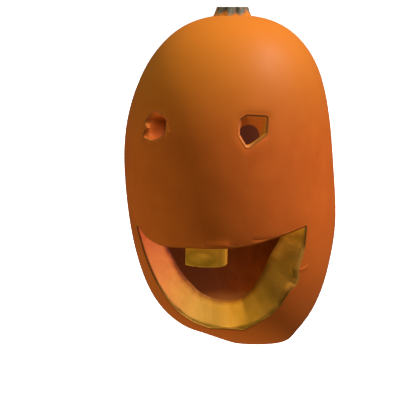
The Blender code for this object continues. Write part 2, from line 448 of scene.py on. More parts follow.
@dataclass(frozen=True)
class Rind:
    """Waxy pumpkin rind, as grown: a satin skin over deep orange, faintly mottled and pored.

    It gives the eye a soft sheen on the shoulder, a yellower crown than belly, and a dark line where the
    knife went in under the grin on -X, partly bruising and partly painted shade.
    """

    ripe: str = "CE6420"
    deep: str = "C65E1E"
    sunned: str = "CE7423"
    shaded: str = "D16722"
    bruise_and_shade: str = "5E3208"
    # Heights over which the belly turns to crown, and the belly to foot
    crown_span: Span = (0.205, 0.325)
    foot_span: Span = (0.140, 0.085)
    # The dark line by the cuts, partly bruising and partly painted shade: its width, its strength, and the
    # height and the x that it fades at
    dark_edge_width: float = 0.0024
    dark_edge_strength: float = 0.75
    dark_edge_top: Span = (0.108, 0.114)
    dark_edge_side: Span = (0.020, 0.060)
    # Mottling is about 30 mm across. Real pores are 0.2 mm, too fine to show, so they are drawn at 2.2 mm
    mottle: float = 0.030
    pores: float = 0.0022

    def make(self) -> bpy.types.Material:
        """Builds the material.

        Returns:
            The material.
        """
        tree, material = new_material("waxy_pumpkin_rind")
        spot = add(tree, "ShaderNodeTexCoord", out="Object")
        cloud = add(tree, NOISE, {
            "Vector": spot, "Scale": 1 / self.mottle, "Detail": 3.0, "Roughness": 0.55
        })
        colour = tint_between(tree, linear(self.deep), cloud, (0.35, 0.65), linear(self.ripe), ease="LINEAR")
        height = add(tree, SPLIT, [spot], out="Z")
        colour = tint_between(tree, colour, height, self.crown_span, linear(self.sunned))
        colour = tint_between(tree, colour, height, self.foot_span, linear(self.shaded))
        # The dark line along the grin's lower edge on -X, away from the key light: partly bruising, partly
        # painted shade
        edge = add(tree, "ShaderNodeAttribute", attribute_name="edge", out="Fac")
        rim = add(tree, RANGE, {
            "Value": edge, "From Max": self.dark_edge_width, "To Min": self.dark_edge_strength, "To Max": 0.0
        })
        for axis, (start, end) in (("Z", self.dark_edge_top), ("X", self.dark_edge_side)):
            way = add(tree, SPLIT, [spot], out=axis)
            left = add(tree, RANGE, {
                "Value": way, "From Min": start, "From Max": end, "To Min": 1.0, "To Max": 0.0
            })
            rim = add(tree, MATH, [rim, left], operation="MULTIPLY")
        colour = add(tree, MIX, {SHARE: rim, FIRST: colour, SECOND: linear(self.bruise_and_shade)}, **IN_COLOUR)
        fine = add(tree, NOISE, {"Vector": spot, "Scale": 1 / self.pores, "Detail": 2.0})
        bump = add(tree, "ShaderNodeBump", {"Strength": 0.05, "Distance": 0.0004, "Height": fine})
        rough = add(tree, RANGE, {
            "Value": cloud, "From Min": 0.3, "From Max": 0.7, "To Min": 0.49, "To Max": 0.56
        })
        shader = add(tree, "ShaderNodeBsdfPrincipled", {
            "Base Color": colour, "Roughness": rough, "Normal": bump, "IOR": 1.45, "Specular IOR Level": 0.15
        })
        add(tree, "ShaderNodeOutputMaterial", [shader], out=None)
        return material


@dataclass(frozen=True)
class CutFlesh:
    """Damp pumpkin flesh, cut with a knife: fibrous, and darker under the rind, partly bruising and partly
    painted shade.

    It gives the eye a tone that runs from salmon over gold to olive round the cut, partly its own and partly
    painted light and shade; a dark or pale line where the knife went in, partly bruising and partly painted
    shade and painted light; and brown where the wall meets the hollow, which is painted shade.
    """

    name: str
    # Tones by the share of the way round a cut, and tints by the share of the wall's thickness, both partly
    # painted light and shade
    round_tones: Stops
    depth_tints: Stops
    rim_tones: Stops = ()
    # Where round the cut the tints grow to their full strength, how fast, and from what strength
    deep_from: float = 0.0
    deep_fade: float = 0.01
    least_depth_tint: float = 0.3
    # The share of the wall over which the rim's tone passes into the flesh's
    rim_span: Span = (0.02, 0.12)
    # Real fibres are 0.3 mm wide, too fine to show, so they are drawn at 1.8 mm. Clouds are 11 mm across
    fibre: float = 0.0018
    streaks: float = 0.03
    cloud: float = 0.011
    sway: float = 0.07

    def make(self) -> bpy.types.Material:
        """Builds the material.

        Returns:
            The material.
        """
        tree, material = new_material(self.name)
        spot = add(tree, "ShaderNodeTexCoord", out="Object")
        depth = add(tree, "ShaderNodeAttribute", attribute_name="depth", out="Fac")
        along = add(tree, "ShaderNodeAttribute", attribute_name="along", out="Fac")
        around = add(tree, "ShaderNodeAttribute", attribute_name="round", out="Fac")
        cloud = add(tree, NOISE, {"Vector": spot, "Scale": 1 / self.cloud, "Detail": 3.0})
        drift = add(tree, MATH, [cloud, 0.5], operation="SUBTRACT")
        swayed = add(tree, MATH, [drift, self.sway * 2, depth], operation="MULTIPLY_ADD")
        shifted = add(tree, MATH, [drift, self.sway, around], operation="MULTIPLY_ADD")
        # The tone round the cut and the tint towards the hollow are partly painted light and shade
        tone = add(tree, RAMP, [shifted], stops=self.round_tones)
        tint = add(tree, RAMP, [swayed], stops=self.depth_tints)
        deep = add(tree, RANGE, {
            "Value": around, "From Min": self.deep_from - self.deep_fade, "From Max": self.deep_from,
            "To Min": self.least_depth_tint, "To Max": 1.0,
        })
        colour = add(tree, MIX, {SHARE: deep, FIRST: tone, SECOND: tint}, blend_type="MULTIPLY", **IN_COLOUR)
        # The rim's dark and pale line: partly bruising, partly painted shade and painted light
        if self.rim_tones:
            rim = add(tree, RAMP, [around], stops=self.rim_tones)
            colour = tint_between(tree, rim, depth, self.rim_span, colour)
        across = add(tree, MATH, [along, 1 / self.fibre], operation="MULTIPLY")
        way = add(tree, JOIN, [across, depth, 0.0])
        strands = add(tree, NOISE, {"Vector": way, "Scale": 1.0, "Detail": 2.0, "Distortion": 0.6})
        dark = add(tree, RANGE, {
            "Value": strands, "From Min": 0.35, "From Max": 0.65,
            "To Min": 1.0 - self.streaks, "To Max": 1.0 + self.streaks,
        })
        colour = add(tree, MIX, {SHARE: 1.0, FIRST: colour, SECOND: dark}, blend_type="MULTIPLY", **IN_COLOUR)
        bump = add(tree, "ShaderNodeBump", {"Strength": 0.04, "Distance": 0.0005, "Height": strands})
        shader = add(tree, "ShaderNodeBsdfPrincipled", {
            "Base Color": colour, "Roughness": 0.60, "Normal": bump, "IOR": 1.38, "Specular IOR Level": 0.06
        })
        add(tree, "ShaderNodeOutputMaterial", [shader], out=None)
        return material


# The grin's tones start in its corner on +X, run under to the one on -X, and go back along the lip
GRIN_FLESH = CutFlesh(
    name="knife_cut_flesh",
    round_tones=(
        # The corner, the wall below it in painted shade, and the wall behind the shelf
        (0.0, "F0A034"), (0.045, "A0681F"), (0.11, "BC7E28"), (0.15, "A87024"),
        # Gold along the bottom, then salmon up the other wall, both partly painted light where the key light
        # falls
        (0.26, "F0A430"), (0.36, "FFBA52"), (0.46, "D88040"), (0.58, "AC4E26"),
        # Under the lip
        (0.63, "A04818"), (1.0, "A05818"),
    ),
    rim_tones=(
        # A dark rim in the corner, the shelf's pale rim and a dark rim below it: partly bruising, partly
        # painted shade
        (0.0, "7A5420"), (0.035, "7A5420"), (0.05, "D89840"), (0.113, "D89840"), (0.13, "6A3E14"),
        # A pale rim along the bottom, partly painted light, then a dark rim up the other wall, partly
        # bruising and partly painted shade
        (0.27, "B0802C"), (0.38, "E0A048"), (0.48, "6C3C14"), (0.60, "602C0C"),
        # Under the lip
        (0.66, "A85418"), (1.0, "9A5018"),
    ),
    # Darker towards the hollow: painted shade where the wall meets the hollow
    depth_tints=(
        (0.0, "FFFFFF"), (0.70, "FFFFFF"), (0.79, "E4D0CC"), (0.85, "A69098"), (0.89, "80686C"),
        (1.0, "403030"),
    ),
    rim_span=(0.02, 0.11), deep_from=0.21, deep_fade=0.06, least_depth_tint=0.65,
)

# The tooth has one tone. Its tints follow the pared front, with 0 in its middle and 1 on its edges. They are
# painted light and shade: a lighter middle and rim, a darker bevel
TOOTH_FLESH = CutFlesh(
    name="pared_tooth_flesh",
    round_tones=((0.0, "FFB63C"), (1.0, "FFB63C")),
    depth_tints=((0.0, "F4ECE0"), (0.45, "D4CCB8"), (0.65, "C4BCA8"), (0.85, "D8D0C0"), (1.0, "FFFFFF")),
    sway=0.03,
)

# Both eyes' tones in one: the eye on +X up to 0.48, and the one on -X from 0.52
EYE_FLESH = CutFlesh(
    name="eye_cut_flesh",
    # The walls' tones are partly painted light and shade
    round_tones=(
        (0.0, "C07030"), (0.10, "A85A24"), (0.20, "BE6626"), (0.27, "B47428"), (0.48, "C07030"),
        (0.52, "B06024"), (0.62, "C45E20"), (0.77, "AC5220"), (1.0, "B86024"),
    ),
    # The pale lines along the lit rims are painted highlights, and the dark bands are painted shade
    rim_tones=(
        (0.0, "E88040"), (0.09, "985022"), (0.36, "8A5A24"), (0.41, "EC904E"), (0.48, "E88040"),
        (0.52, "A85828"), (0.62, "B06028"), (0.76, "984E1E"), (0.87, "D87C3A"), (0.95, "70340F"),
        (1.0, "D07438"),
    ),
    # Darker towards the hole: painted shade in the eye's depth
    depth_tints=(
        (0.0, "FFFFFF"), (0.12, "FFFFFF"), (0.28, "E8E0D8"), (0.45, "CCC0B4"), (0.80, "B0A498"),
        (1.0, "583C30"),
    ),
    rim_span=(0.02, 0.10), deep_from=0.52, sway=0.02,
)


@dataclass(frozen=True)
class ScoopedFlesh:
    """The inside of the wall, scraped with a spoon: stringy and wet, and dark red-brown, which is mostly
    painted shade.

    It gives the eye a deep hollow that stays almost even behind the grin. The side that the key light reaches
    is painted darkest, as painted shade, because the lamps cast no shadow into the hollow.
    """

    pith: str = "6A2902"
    shade: str = "602402"
    lit_side_painted_shade: str = "401802"
    dry: str = "7F4435"
    floor: str = "6D3A13"
    # Where each tone comes in: the painted shade on the lit side by x, the drier top and the wet floor by
    # height
    painted_shade_span: Span = (0.030, -0.060)
    dry_span: Span = (0.145, 0.200)
    floor_span: Span = (0.052, 0.039)
    # Strings of pith are about 6 mm apart and four times as long
    strand: float = 0.006
    strand_squash: float = 0.25

    def make(self) -> bpy.types.Material:
        """Builds the material.

        Returns:
            The material.
        """
        tree, material = new_material("spoon_scooped_flesh")
        spot = add(tree, "ShaderNodeTexCoord", out="Object")
        long = add(tree, "ShaderNodeMapping", {"Vector": spot, "Scale": (1.0, 1.0, self.strand_squash)})
        strands = add(tree, NOISE, {
            "Vector": long, "Scale": 1 / self.strand, "Detail": 4.0, "Roughness": 0.6
        })
        shade, pith = linear(self.shade), linear(self.pith)
        colour = tint_between(tree, shade, strands, (0.35, 0.65), pith, ease="LINEAR")
        for axis, span, tone in (
            # Painted shade where the key light reaches, since the lamps cast no shadow into the hollow
            ("X", self.painted_shade_span, self.lit_side_painted_shade),
            ("Z", self.dry_span, self.dry),
            ("Z", self.floor_span, self.floor),
        ):
            colour = tint_between(tree, colour, add(tree, SPLIT, [spot], out=axis), span, linear(tone))
        bump = add(tree, "ShaderNodeBump", {"Strength": 0.15, "Distance": 0.0010, "Height": strands})
        shader = add(tree, "ShaderNodeBsdfPrincipled", {
            "Base Color": colour, "Roughness": 0.75, "Normal": bump, "IOR": 1.38, "Specular IOR Level": 0.05
        })
        add(tree, "ShaderNodeOutputMaterial", [shader], out=None)
        return material


@dataclass(frozen=True)
class CorkyStem:
    """A dry pumpkin stem: grey-green cork, ridged lengthways, with the crown's orange between its ribs.

    It gives the eye pale and dark streaks along the ribs, a few salmon ones, and no shine.
    """

    pale: str = "7E7C6C"
    dark: str = "4A4638"
    salmon: str = "C08A68"
    crown: str = "D07A28"
    # Grain 1.6 mm wide, streaks of 4 mm and orange tongues of 10 mm, all drawn out along the stem
    grain: float = 0.0016
    streak: float = 0.0042
    tongue: float = 0.0100
    squash: float = 0.16
    tongue_reach: float = 0.010
    groove_reach: float = 0.0008

    def make(self, foot: float, top: float) -> bpy.types.Material:
        """Builds the material.

        Args:
            foot: The height of the stem's foot.
            top: The height of its cut face.

        Returns:
            The material.
        """
        tree, material = new_material("dry_corky_stem")
        spot = add(tree, "ShaderNodeTexCoord", out="Object")
        long = add(tree, "ShaderNodeMapping", {"Vector": spot, "Scale": (1.0, 1.0, self.squash)})
        grain = add(tree, NOISE, {"Vector": long, "Scale": 1 / self.grain, "Detail": 4.0, "Roughness": 0.65})
        rib = add(tree, "ShaderNodeAttribute", attribute_name="rib", out="Fac")
        tone = add(tree, MATH, [grain, 0.7, rib], operation="MULTIPLY_ADD")
        colour = tint_between(tree, linear(self.dark), tone, (-0.7, 1.2), linear(self.pale), ease="LINEAR")
        wide = add(tree, NOISE, {"Vector": long, "Scale": 1 / self.streak, "Detail": 1.0})
        colour = tint_between(tree, colour, wide, (0.56, 0.66), linear(self.salmon), 0.75, "LINEAR")
        height = add(tree, SPLIT, [spot], out="Z")
        broad = add(tree, NOISE, {"Vector": long, "Scale": 1 / self.tongue, "Detail": 0.0})
        lift = add(tree, MATH, [broad, -self.tongue_reach, height], operation="MULTIPLY_ADD")
        lift = add(tree, MATH, [rib, self.groove_reach, lift], operation="MULTIPLY_ADD")
        colour = tint_between(tree, colour, lift, (foot + 0.0022, foot - 0.0030), linear(self.crown))
        colour = tint_between(tree, colour, height, (top - 0.0010, top), linear(self.pale), 0.4, "LINEAR")
        bump = add(tree, "ShaderNodeBump", {"Strength": 0.4, "Distance": 0.0005, "Height": grain})
        shader = add(tree, "ShaderNodeBsdfPrincipled", {
            "Base Color": colour, "Roughness": 0.85, "Normal": bump, "IOR": 1.45, "Specular IOR Level": 0.1
        })
        add(tree, "ShaderNodeOutputMaterial", [shader], out=None)
        return material


@dataclass(frozen=True)
class Mark:
    """A soft crease or fold in the rind, along a line of angles and heights."""

    line: Line
    width: float
    depth: float

    def sink(self, form: Form, angle: np.ndarray, height: np.ndarray) -> np.ndarray:
        """How far the mark sets the rind in.

        Args:
            form: The pumpkin's shape.
            angle: The chart's angles in degrees.
            height: The chart's heights.

        Returns:
            The depth at each point, below zero where the mark is a fold.
        """
        arc = form.widest_radius
        spots = np.stack([np.radians(angle) * arc, height], axis=-1)
        corners = np.array([(math.radians(a) * arc, h) for a, h in self.line])
        nearest = np.full(len(spots), 1.0)
        for start, end in zip(corners, corners[1:]):
            way = end - start
            share = np.clip(((spots - start) @ way) / (way @ way), 0.0, 1.0)
            gap = np.linalg.norm(spots - (start + share[:, None] * way), axis=1)
            nearest = np.minimum(nearest, gap)
        return self.depth * np.exp(-((nearest / self.width) ** 2))


@dataclass(frozen=True)
class Dent:
    """A broad shallow hollow in the rind, round a point."""

    place: tuple[float, float, float]
    width: float
    depth: float

    def press(self, tree: Tree, spot: Socket, mask: Socket, relief: Socket) -> Socket:
        """Takes the dent off a relief.

        Args:
            tree: The tree that works the skin.
            spot: Each point's place.
            mask: One where the skin is rind.
            relief: How far each point moves outwards so far.

        Returns:
            The relief with the dent in it.
        """
        gap = add(tree, VECTOR_MATH, [spot, self.place], out="Value", operation="DISTANCE")
        gap = add(tree, MATH, [gap, self.width], operation="DIVIDE")
        gap = add(tree, MATH, [gap, gap], operation="MULTIPLY")
        gap = add(tree, MATH, [gap, -1.0], operation="MULTIPLY")
        fall = add(tree, MATH, [gap], operation="EXPONENT")
        fall = add(tree, MATH, [fall, mask], operation="MULTIPLY")
        return add(tree, MATH, [fall, -self.depth, relief], operation="MULTIPLY_ADD")


@dataclass
class Cut:
    """One opening, knifed from an outline in the rind to an outline in the hollow.

    Both outlines have the same number of points, as rows of angle and height, and run clockwise. The wall
    starts with a rounded edge and maybe a shelf that slopes into the cut, and ends with a rounded edge.
    """

    layer: Layer
    rind_line: np.ndarray
    hollow_line: np.ndarray
    edge_radius: float
    inner_radius: float
    dish_width: float
    dish_depth: float
    rows: int
    shelf: np.ndarray | None = None
    shelf_reach: float = 0.90
    shelf_sink: float = 0.55
    # How much the outline's lobes are smoothed away below the rind, where, and over what share of the wall
    lobe_passes: int = 0
    lobe_mask: np.ndarray | float = 1.0
    lobe_fade: float = 0.06
    swell: float = 0.0
    round_span: Span = (0.0, 1.0)
    edge_rows: int = 4
    shelf_rows: int = 5

    @staticmethod
    def outward(points: np.ndarray, arc: float) -> np.ndarray:
        """The level unit vectors that point out of a clockwise outline on the flat chart."""
        flat = np.stack([np.radians(points[:, 0]) * arc, points[:, 1]], axis=-1)
        way = np.roll(flat, -1, axis=0) - np.roll(flat, 1, axis=0)
        way /= np.linalg.norm(way, axis=1)[:, None]
        return np.stack([-way[:, 1], way[:, 0]], axis=-1)

    def shifted(self, points: np.ndarray, arc: float, distance: np.ndarray | float) -> np.ndarray:
        """An outline moved outwards on the chart, as rows of angle and height."""
        step = self.outward(points, arc) * np.reshape(distance, (-1, 1))
        return points + np.stack([np.degrees(step[:, 0] / arc), step[:, 1]], axis=-1)

    def rind_loop(self, form: Form) -> np.ndarray:
        """Where the rounded edge starts on the rind."""
        return self.shifted(self.rind_line, form.widest_radius, self.edge_radius)

    def hollow_loop(self, form: Form) -> np.ndarray:
        """Where the rounded inner edge ends in the hollow."""
        return self.shifted(self.hollow_line, form.widest_radius - form.wall, self.inner_radius)

    def wall_rows(self, form: Form, sink: np.ndarray) -> list[np.ndarray]:
        """The rows of the wall from the rind to the hollow, each of angles, heights and insets.

        Args:
            form: The pumpkin's shape.
            sink: How far the rind is set in at each point of the edge.

        Returns:
            One array for each row.
        """
        arc, inner_arc = form.widest_radius, form.widest_radius - form.wall
        rows = []
        for step in range(self.edge_rows + 1):
            turn = math.pi / 2 * step / self.edge_rows
            line = self.shifted(self.rind_line, arc, self.edge_radius * (1.0 - math.sin(turn)))
            inset = sink + self.edge_radius * (1.0 - math.cos(turn))
            rows.append(np.column_stack([line, inset]))
        if self.shelf is not None:
            rim = rows[-1]
            for step in range(1, self.shelf_rows + 1):
                share = step / self.shelf_rows
                line = self.shifted(self.rind_line, arc, -self.shelf * self.shelf_reach * share)
                rows.append(np.column_stack([line, rim[:, 2] + self.shelf * self.shelf_sink * share]))
        start = rows[-1]
        last_inset = form.wall - self.inner_radius
        end = np.column_stack([self.hollow_line, np.full(len(self.hollow_line), last_inset)])
        change = soften(start, self.lobe_passes) - start
        smooth = start + change * np.reshape(self.lobe_mask, (-1, 1))
        for step in range(1, self.rows):
            share = step / self.rows
            outer = start + (smooth - start) * min(share / self.lobe_fade, 1.0)
            row = outer + (end - outer) * share
            row[:, :2] = self.shifted(row[:, :2], arc, -self.swell * math.sin(math.pi * share))
            rows.append(row)
        for step in range(self.edge_rows + 1):
            turn = math.pi / 2 * step / self.edge_rows
            line = self.shifted(self.hollow_line, inner_arc, self.inner_radius * (1.0 - math.cos(turn)))
            inset = form.wall - self.inner_radius * (1.0 - math.sin(turn))
            rows.append(np.column_stack([line, np.full(len(line), inset)]))
        return rows


def along_line(form: Form, corners: np.ndarray, inset: float, shares: np.ndarray) -> np.ndarray:
    """Angles and heights at shares of the way along a line of corners on the form."""
    spots = form.place(corners[:, 0], corners[:, 1], inset)
    lengths = np.linalg.norm(np.diff(spots, axis=0), axis=1)
    done = np.concatenate([[0.0], np.cumsum(lengths)])
    reached = shares * done[-1]
    return np.stack([np.interp(reached, done, corners[:, column]) for column in (0, 1)], axis=-1)


def length_of(form: Form, corners: np.ndarray) -> float:
    """The length of a line of corners on the rind."""
    return float(np.linalg.norm(np.diff(form.place(corners[:, 0], corners[:, 1]), axis=0), axis=1).sum())


def soften(points: np.ndarray, passes: int) -> np.ndarray:
    """Smooths what runs round a closed outline, such as its points or its shelf's widths."""
    for _ in range(passes):
        points = 0.25 * np.roll(points, 1, axis=0) + 0.5 * points + 0.25 * np.roll(points, -1, axis=0)
    return points


def inside(points: np.ndarray, loop: np.ndarray) -> np.ndarray:
    """Which points of the plane lie inside a closed loop."""
    result = np.zeros(len(points), bool)
    for a, b in zip(loop, np.roll(loop, -1, axis=0)):
        spans = (a[1] > points[:, 1]) != (b[1] > points[:, 1])
        if spans.any():
            crossing = (b[0] - a[0]) * (points[:, 1] - a[1]) / (b[1] - a[1]) + a[0]
            result ^= spans & (points[:, 0] < crossing)
    return result


def gap_to(points: np.ndarray, loop: np.ndarray) -> np.ndarray:
    """The distance from each point to the nearest point of a loop."""
    nearest = np.full(len(points), 1.0)
    for start in range(0, len(points), 4000):
        part = points[start:start + 4000]
        squares = ((part[:, None, :] - loop[None, :, :]) ** 2).sum(axis=2)
        nearest[start:start + 4000] = np.sqrt(squares.min(axis=1))
    return nearest


@dataclass
class Chart:
    """The flat drawing of the pumpkin: points, faces and what each of them shows."""

    points: list[np.ndarray] = field(default_factory=list)
    depth: list[np.ndarray] = field(default_factory=list)
    along: list[np.ndarray] = field(default_factory=list)
    round: list[np.ndarray] = field(default_factory=list)
    edge: list[np.ndarray] = field(default_factory=list)
    faces: list[list[int]] = field(default_factory=list)
    layers: list[int] = field(default_factory=list)
    count: int = 0

    def add_points(self, points: np.ndarray, depth, along, edge, around=0.0) -> int:
        """Adds rows of angle in degrees, height and inset.

        Args:
            points: The rows.
            depth: The share of the wall that lies above each point.
            along: The metres round the cut at each point.
            edge: The metres from each point to the nearest cut.
            around: The share of the way round the cut at each point.

        Returns:
            The number of the first of them.
        """
        first = self.count
        self.points.append(np.column_stack([np.radians(points[:, 0]), points[:, 2], points[:, 1]]))
        for store, value in (
            (self.depth, depth), (self.along, along), (self.round, around), (self.edge, edge)
        ):
            store.append(np.broadcast_to(np.asarray(value, float), len(points)))
        self.count += len(points)
        return first

    def add_faces(self, faces: list[list[int]], layer: Layer) -> None:
        """Adds faces that show a layer."""
        self.faces += faces
        self.layers += [layer.value] * len(faces)

    def make_mesh(self, name: str) -> bpy.types.Mesh:
        """Turns the chart into a mesh with its attributes."""
        mesh = bpy.data.meshes.new(name)
        mesh.from_pydata(np.concatenate(self.points).tolist(), [], self.faces)
        stores = {"depth": self.depth, "along": self.along, "round": self.round, "edge": self.edge}
        for label, store in stores.items():
            mesh.attributes.new(label, "FLOAT", "POINT").data.foreach_set("value", np.concatenate(store))
        mesh.attributes.new("layer", "INT", "FACE").data.foreach_set("value", self.layers)
        return mesh


@dataclass
class CarvedPumpkin:
    """The pumpkin itself: rind, hollow, grin and eyes in one skin."""

    form: Form
    rind_sides: int = 232
    rind_rows: int = 98
    rind_low: float = 0.0120
    rind_high: float = 0.3000
    hollow_sides: int = 132
    hollow_rows: int = 60
    hollow_low: float = 0.0400
    hollow_high: float = 0.2800
    cap_rings: int = 26
    hollow_cap_rings: int = 14
    base_rings: int = 8
    base_shares: tuple[float, ...] = (0.1, 0.25, 0.5, 0.75, 0.9, 0.97, 0.995, 0.9995)
    pole_radius: float = 0.0012
    hollow_pole_radius: float = 0.0010
    step: float = 0.0010
    # Rings of points round every cut, each with its distance and its step along the outline's points
    cut_rings: tuple[tuple[float, int], ...] = ((0.0009, 1), (0.0020, 1), (0.0034, 2))
    ring_clearance: float = 0.94
    # How far the other points keep from the cuts, from the marks and from each other
    grid_to_cut: float = 0.0052
    grid_to_mark: float = 0.0015
    mark_to_cut: float = 0.0008
    ring_to_mark: float = 0.0005
    mark_gap: float = 0.0004
    mark_rows: tuple[float, ...] = (-1.7, -1.0, -0.5, 0.0, 0.5, 1.0, 1.7)
    # The outlines, as corners at an angle and a height. The grin runs under from +X to -X and back by its lip
    mouth_under: Line = (
        (60.0, 0.1370), (58.8, 0.1140), (57.2, 0.1010), (55.6, 0.0900), (57.1, 0.0815), (56.2, 0.0735),
        (51.5, 0.0660), (47.0, 0.0510), (40.5, 0.0405), (30.0, 0.0320), (18.0, 0.0240), (4.0, 0.0256),
        (-12.0, 0.0246), (-23.0, 0.0300), (-32.0, 0.0410), (-38.0, 0.0600), (-42.5, 0.0790),
        (-46.5, 0.1030), (-48.5, 0.1180), (-50.5, 0.1335),
    )
    mouth_lip: Line = (
        (-50.5, 0.1335), (-46.7, 0.1298), (-43.0, 0.1253), (-40.4, 0.1223), (-36.0, 0.1191), (-31.9, 0.1172),
        (-28.0, 0.1156), (-22.0, 0.1150), (-10.0, 0.1154), (4.0, 0.1158), (13.5, 0.1163), (22.5, 0.1185),
        (31.8, 0.1225), (37.4, 0.1255), (44.1, 0.1290), (51.2, 0.1328), (60.0, 0.1370),
    )
    hollow_under: Line = (
        (57.0, 0.1350), (52.0, 0.1200), (44.8, 0.1045), (40.8, 0.0890), (37.0, 0.0785), (31.5, 0.0670),
        (22.0, 0.0565), (8.0, 0.0535), (-8.0, 0.0550), (-21.0, 0.0612), (-31.5, 0.0740), (-40.2, 0.0895),
        (-47.2, 0.1080), (-54.0, 0.1310),
    )
    hollow_lip: Line = (
        (-54.0, 0.1310), (-36.0, 0.1235), (-18.0, 0.1170), (0.0, 0.1155), (18.0, 0.1165), (36.0, 0.1230),
        (57.0, 0.1350),
    )
    right_eye: Line = (
        (22.5, 0.2354), (22.8, 0.2506), (26.2, 0.2544), (37.8, 0.2528), (36.9, 0.2366), (26.4, 0.2230),
    )
    right_eye_hole: Span = (31.5, 0.2321)
    left_eye: Line = (
        (-37.2, 0.2445), (-36.6, 0.2490), (-34.2, 0.2540), (-31.0, 0.2566), (-27.8, 0.2558), (-26.4, 0.2528),
        (-23.4, 0.2542), (-21.0, 0.2495), (-20.6, 0.2395), (-22.0, 0.2336), (-25.8, 0.2300), (-30.5, 0.2278),
        (-37.2, 0.2306), (-36.8, 0.2358), (-33.4, 0.2395),
    )
    left_eye_hole: Span = (-30.5, 0.2375)
    eye_hole_radius: float = 0.0118
    # The shelf in the grin's wall on +X: its width by height, and the angle that it starts at
    shelf_profile: Line = (
        (0.0300, 0.0004), (0.0400, 0.0010), (0.0500, 0.0028), (0.0600, 0.0042), (0.0670, 0.0060),
        (0.0745, 0.0058), (0.0855, 0.0050), (0.0900, 0.0072), (0.0960, 0.0090), (0.1030, 0.0085),
        (0.1090, 0.0058), (0.1180, 0.0010),
    )
    shelf_from: float = 25.0
    least_shelf: float = 0.0004
    shelf_passes: int = 12
    # The grin's lobes are smoothed away below this height, fully so one fade further down
    lobes_below: float = 0.121
    lobes_over: float = 0.012
    dents: tuple[Dent, ...] = (
        # Two at the foot, one in the side on +X, and a slight swell under the stem
        Dent((-0.0210, -0.0215, 0.0055), 0.018, 0.0040),
        Dent((0.0690, 0.0190, 0.0110), 0.019, 0.0028),
        Dent((0.1045, 0.0205, 0.0960), 0.030, 0.0012),
        Dent((-0.0023, 0.0000, 0.3590), 0.022, -0.0004),
    )
    marks: tuple[Mark, ...] = (
        # The crease above the lip, and the swelling of the lip over the tooth
        Mark(((27.0, 0.1248), (32.0, 0.1250), (38.3, 0.1263), (44.3, 0.1292)), 0.0011, 0.0004),
        Mark(((1.0, 0.1180), (12.0, 0.1184)), 0.0046, -0.0014),
        # The fold beside the eye on -X and the crease under it
        Mark(((-20.2, 0.2448), (-19.0, 0.2403), (-18.2, 0.2356)), 0.0020, -0.0011),
        Mark(((-35.5, 0.2282), (-30.5, 0.2259), (-26.0, 0.2278)), 0.0020, 0.0008),
        # The fold beside the grin
        Mark(((57.0, 0.0895), (63.5, 0.0925)), 0.0008, -0.0005),
    )

    def mouth(self) -> Cut:
        """Plans the grin's cut.

        Returns:
            The cut.
        """
        rind, hollow = [], []
        halves = ((self.mouth_under, self.hollow_under), (self.mouth_lip, self.hollow_lip))
        for rind_half, hollow_half in halves:
            corners = np.array(rind_half)
            count = round(length_of(self.form, corners) / self.step)
            shares = np.arange(count) / count
            rind.append(along_line(self.form, corners, 0.0, shares))
            hollow.append(along_line(self.form, np.array(hollow_half), self.form.wall, shares))
        rind_line = soften(np.concatenate(rind), 2)
        heights, widths = zip(*self.shelf_profile)
        shelf = np.interp(rind_line[:, 1], heights, widths)
        shelf = np.where(rind_line[:, 0] > self.shelf_from, shelf, self.least_shelf)
        shelf = soften(shelf, self.shelf_passes)
        lobes = np.clip((self.lobes_below - rind_line[:, 1]) / self.lobes_over, 0.0, 1.0)
        lobes[len(rind[0]):] = 0.0
        return Cut(
            Layer.MOUTH_FLESH, rind_line, soften(np.concatenate(hollow), 12),
            edge_radius=0.0009, inner_radius=0.0040, dish_width=0.0050, dish_depth=0.0003, rows=26,
            shelf=shelf, lobe_passes=160, lobe_mask=lobes, swell=-0.0009,
        )

    def eye(self, outline: Line, hole: Span, round_span: Span, lobe_passes: int) -> Cut:
        """Plans an eye's cut, from its outline in the rind to its round hole in the hollow.

        Args:
            outline: Its corners, clockwise, as angles and heights.
            hole: The angle and height of the middle of the hole.
            round_span: The part of the eyes' tones that it shows.
            lobe_passes: How much the lobes of its outline are smoothed away below the rind.

        Returns:
            The cut.
        """
        corners = np.array(outline + outline[:1])
        count = round(length_of(self.form, corners) / self.step)
        shares = np.arange(count) / count
        rind = along_line(self.form, corners, 0.0, shares)
        middle = self.form.place(np.array(hole[0]), np.array(hole[1]), self.form.wall)
        side = math.radians(hole[0] + 90.0)
        arm = self.form.place(corners[:1, 0], corners[:1, 1])[0] - middle
        first_turn = math.atan2(arm[2], arm[0] * math.sin(side) - arm[1] * math.cos(side))
        turns = first_turn - 2.0 * math.pi * shares
        radius = self.form.radius_at(np.array(hole[1]), self.form.wall)
        across = np.degrees(np.arcsin(self.eye_hole_radius * np.cos(turns) / radius))
        hollow = np.stack([hole[0] + across, hole[1] + self.eye_hole_radius * np.sin(turns)], axis=-1)
        return Cut(
            Layer.EYE_FLESH, soften(rind, 2), hollow,
            edge_radius=0.0024, inner_radius=0.0020, dish_width=0.0065, dish_depth=0.0008, rows=22,
            round_span=round_span, lobe_passes=lobe_passes,
        )

    def flat(self, points: np.ndarray, arc: float) -> np.ndarray:
        """Rows of angle and height as metres on the flat chart."""
        return np.stack([np.radians(points[:, 0]) * arc, points[:, 1]], axis=-1)

    def sink(self, cuts: list[Cut], angle: np.ndarray, height: np.ndarray) -> np.ndarray:
        """How far the rind is set in by the dished rims of the cuts and by its marks."""
        arc = self.form.widest_radius
        spots = self.flat(np.stack([angle, height], axis=-1), arc)
        total = np.zeros(len(angle))
        for cut in cuts:
            gap = gap_to(spots, self.flat(cut.rind_loop(self.form), arc))
            total += cut.dish_depth * np.clip(1.0 - gap / cut.dish_width, 0.0, 1.0) ** 2
        for mark in self.marks:
            total += mark.sink(self.form, angle, height)
        return total

